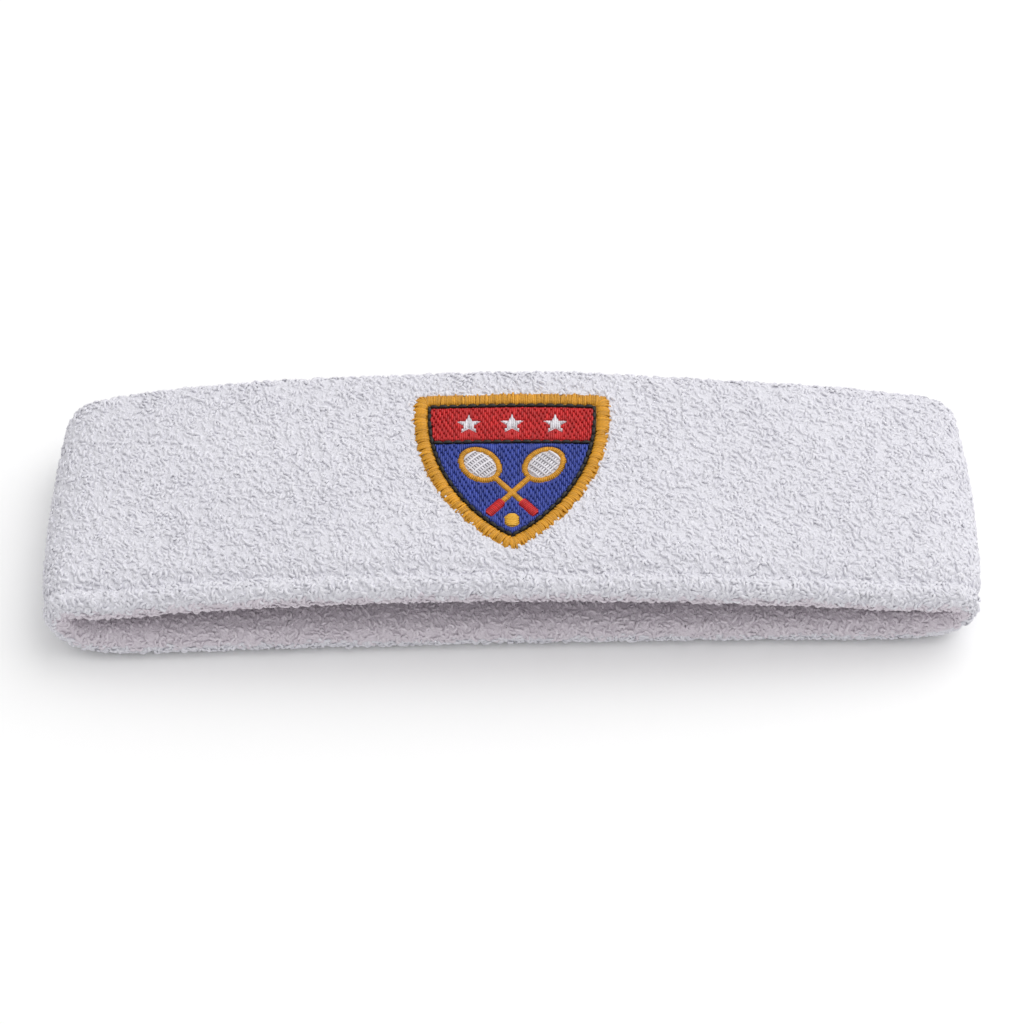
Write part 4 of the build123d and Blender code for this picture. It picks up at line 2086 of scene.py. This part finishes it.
@dataclass
class ClosingSeam:
    """The two raw ends of the tube, rolled together on the skin side and whipped over."""

    band: Band
    form: SoftForm
    radius: float = 1.5 * MM
    points: int = 10
    thread_mm: float = 0.32
    pitch_mm: float = 3.5
    clearance: float = 0.02 * MM

    def build(self) -> list[bpy.types.Object]:
        """Models the bead and its stitches.

        Returns:
            The bead and the stitches.
        """
        return [self.build_bead(), self.build_stitches()]

    def build_bead(self) -> bpy.types.Object:
        """Sweeps a half-round bead whose narrow upper half is its neck in the slit.

        Returns:
            The bead.
        """
        bpy.ops.object.select_all(action="DESELECT")
        bpy.ops.mesh.primitive_circle_add(
            vertices=2 * self.points, radius=self.radius, fill_type="NOTHING"
        )
        piece = bpy.context.active_object
        piece.name = "seam_rolled_edge"
        with editing(piece):
            pick(piece, lambda place: place.y > 0.01 * MM)
            bpy.ops.transform.resize(value=(0.3, 0.4, 1), center_override=(0, 0, 0))
        self.band.stand_section(piece, -self.band.ground)
        with editing(piece):
            bpy.ops.mesh.select_all(action="SELECT")
            self.band.carry_round(straight_steps=150)
        self.form.shape(piece)
        smooth(piece)
        return hand_in(piece, SeamKnit(), "seam_bead")

    def hoop(self) -> Stamp:
        """Spins one whip stitch: a half hoop of thread that stands over the bead.

        Returns:
            The stitch as a stamp, with its feet on the ground at either side of the seam.
        """
        thread = self.thread_mm * MM / 2
        reach = self.radius + thread + self.clearance
        bpy.ops.object.select_all(action="DESELECT")
        bpy.ops.mesh.primitive_circle_add(
            vertices=6, radius=thread, fill_type="NOTHING", location=(reach, 0, 0)
        )
        piece = bpy.context.active_object
        settle(piece)
        with editing(piece):
            bpy.ops.mesh.select_all(action="SELECT")
            bpy.ops.mesh.spin(steps=10, angle=math.pi, center=(0, 0, 0), axis=(0, 1, 0))
            bpy.ops.mesh.select_all(action="SELECT")
            bpy.ops.mesh.fill_holes(sides=6)
            bpy.ops.mesh.select_all(action="SELECT")
            bpy.ops.mesh.normals_make_consistent(inside=False)
        return Stamp.taken_from(piece)

    def build_stitches(self) -> bpy.types.Object:
        """Whips thread over the bead: one slanting half hoop, copied all the way round.

        Returns:
            The stitches.
        """
        rng = np.random.default_rng(SEED + 2)
        stamp = self.hoop()
        count = round(self.band.loop_length / (self.pitch_mm * MM))
        way = (np.arange(count) + rng.uniform(-0.08, 0.08, count)) / count
        middle, out = self.band.around(way * self.band.loop_length)
        onward = np.stack([-out[:, 2], out[:, 1], out[:, 0]], axis=1)
        across = np.tile([0.0, 1.0, 0.0], (count, 1))
        slant = rng.uniform(0.25, 0.45, count)[:, None]
        axes = np.stack([across + onward * slant, onward, -out], axis=1)
        placed = (middle - out * self.band.ground)[:, None, :] + stamp.points @ axes
        length = np.arctan2(stamp.points[:, 2], stamp.points[:, 0]) * self.radius / MM
        ply = np.stack([length, np.cos(length), np.sin(length)], axis=1)
        marks = {
            "tone": [rng.uniform(0.2, 0.8, count)],
            "ply": [np.tile(ply, (count, 1, 1))],
        }
        piece = press("seam_whip_stitches", [(stamp, placed)], marks)
        self.form.shape(piece)
        return hand_in(piece, SEWING_THREAD, "seam_stitches")


@dataclass
class ElasticYarns:
    """Covered rubber yarns that run round the loop inside the wall."""

    band: Band
    form: SoftForm
    radius: float = 0.3 * MM
    pitch_mm: float = 3.5
    sides: int = 6

    def build(self) -> bpy.types.Object:
        """Sweeps one ring for each yarn of the frame, at the same places across the band.

        Returns:
            The yarns as one piece.
        """
        low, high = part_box("elastic_yarns")
        span = high.y - low.y - 2 * self.radius
        gaps = round(span / (self.pitch_mm * MM))
        pitch = span / gaps
        depth = (size_of("elastic_yarns").x - self.band.length + self.band.wall) / 2 - self.radius
        bpy.ops.object.select_all(action="DESELECT")
        bpy.ops.mesh.primitive_circle_add(
            vertices=self.sides, radius=self.radius, fill_type="NOTHING"
        )
        piece = bpy.context.active_object
        piece.name = "elastic_yarn_rings"
        with editing(piece):
            bpy.ops.mesh.select_all(action="SELECT")
            bpy.ops.transform.translate(value=(-gaps / 2 * pitch, 0, 0))
            for _ in range(gaps):
                bpy.ops.mesh.duplicate_move(TRANSFORM_OT_translate={"value": (pitch, 0, 0)})
        self.band.stand_section(piece, depth)
        with editing(piece):
            bpy.ops.mesh.select_all(action="SELECT")
            self.band.carry_round()
        self.form.shape(piece)
        smooth(piece)
        return hand_in(piece, CoveredRubber(), "elastic_yarns")


# ------------------------------------------------------------------ studio


@dataclass(frozen=True)
class Studio:
    """A white floor, two soft lights in a white surround, and the camera."""

    floor_size: float = 6.0
    elevation: float = 50.0
    distance: float = 0.568
    lens: float = 102.7
    sensor: float = 36.0
    aim: tuple[float, float, float] = (0.0, 0.0, 0.009)
    surround: float = 0.7

    LIGHTS = (  # name, place, size and power
        ("light_above", (0.65, 0.5, 1.05), 1.5, 11.5),
        ("light_fill", (0.6, -0.7, 1.4), 1.2, 0.7),
    )

    def build(self) -> None:
        """Sets up floor, lights and camera."""
        self.build_floor()
        self.build_lights()
        self.build_camera()

    def build_floor(self) -> None:
        """Lays the floor under the band."""
        bpy.ops.object.select_all(action="DESELECT")
        bpy.ops.mesh.primitive_plane_add(size=self.floor_size, location=(0, 0, 0))
        floor = bpy.context.active_object
        floor.name = "studio_floor"
        floor.data.materials.append(PlainFloor().material())

    def build_lights(self) -> None:
        """Hangs a large soft light at the right and above, a weak fill, and a white surround."""
        for name, place, size, power in self.LIGHTS:
            lamp = bpy.data.lights.new(name, "AREA")
            lamp.size = size
            lamp.energy = power
            stand = bpy.data.objects.new(name, lamp)
            stand.location = place
            aim = Vector(self.aim) - Vector(place)
            stand.rotation_euler = aim.to_track_quat("-Z", "Y").to_euler()
            bpy.context.scene.collection.objects.link(stand)
        world = bpy.data.worlds.new("studio_surround")
        world.use_nodes = True
        world.node_tree.nodes.clear()
        shine = add_node(
            world.node_tree,
            "ShaderNodeBackground",
            {"Color": (1, 1, 1, 1), "Strength": self.surround},
        )
        output = add_node(world.node_tree, "ShaderNodeOutputWorld")
        world.node_tree.links.new(shine.outputs[0], output.inputs["Surface"])
        bpy.context.scene.world = world
        bpy.context.scene.view_settings.view_transform = "Standard"

    def build_camera(self) -> None:
        """Stands the camera in front of the band, looking down at it."""
        lens = bpy.data.cameras.new("camera")
        lens.lens = self.lens
        lens.sensor_width = self.sensor
        lens.clip_start, lens.clip_end = 0.01, 20.0
        camera = bpy.data.objects.new("camera", lens)
        slope = math.radians(self.elevation)
        back = Vector((0, -math.cos(slope), math.sin(slope)))
        camera.location = Vector(self.aim) + back * self.distance
        camera.rotation_euler = (-back).to_track_quat("-Z", "Y").to_euler()
        bpy.context.scene.collection.objects.link(camera)
        bpy.context.scene.camera = camera


# ------------------------------------------------------------------ making


def main() -> None:
    """Builds the studio and then the band from the inside out."""
    logging.basicConfig(level=logging.INFO, format="%(name)s: %(message)s")
    Studio().build()
    band = Band.from_frame()
    form = SoftForm(band)
    form.build()
    ground = GroundKnit(band, form)
    ground.build_skin()
    cloth = ground.build()
    elastic = ElasticYarns(band, form).build()
    seam = ClosingSeam(band, form).build()
    badge = Badge(band, form).build()
    pile = TerryPile(band, ground).build()
    bpy.data.objects.remove(ground.skin)
    form.put_away()
    ground.flat_size
    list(seam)
    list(badge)
    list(pile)
    width, length = ground.flat_size
    log.info("ground sheet cut %.1f mm by %.1f mm", width / MM, length / MM)


if __name__ == "__main__":
    main()
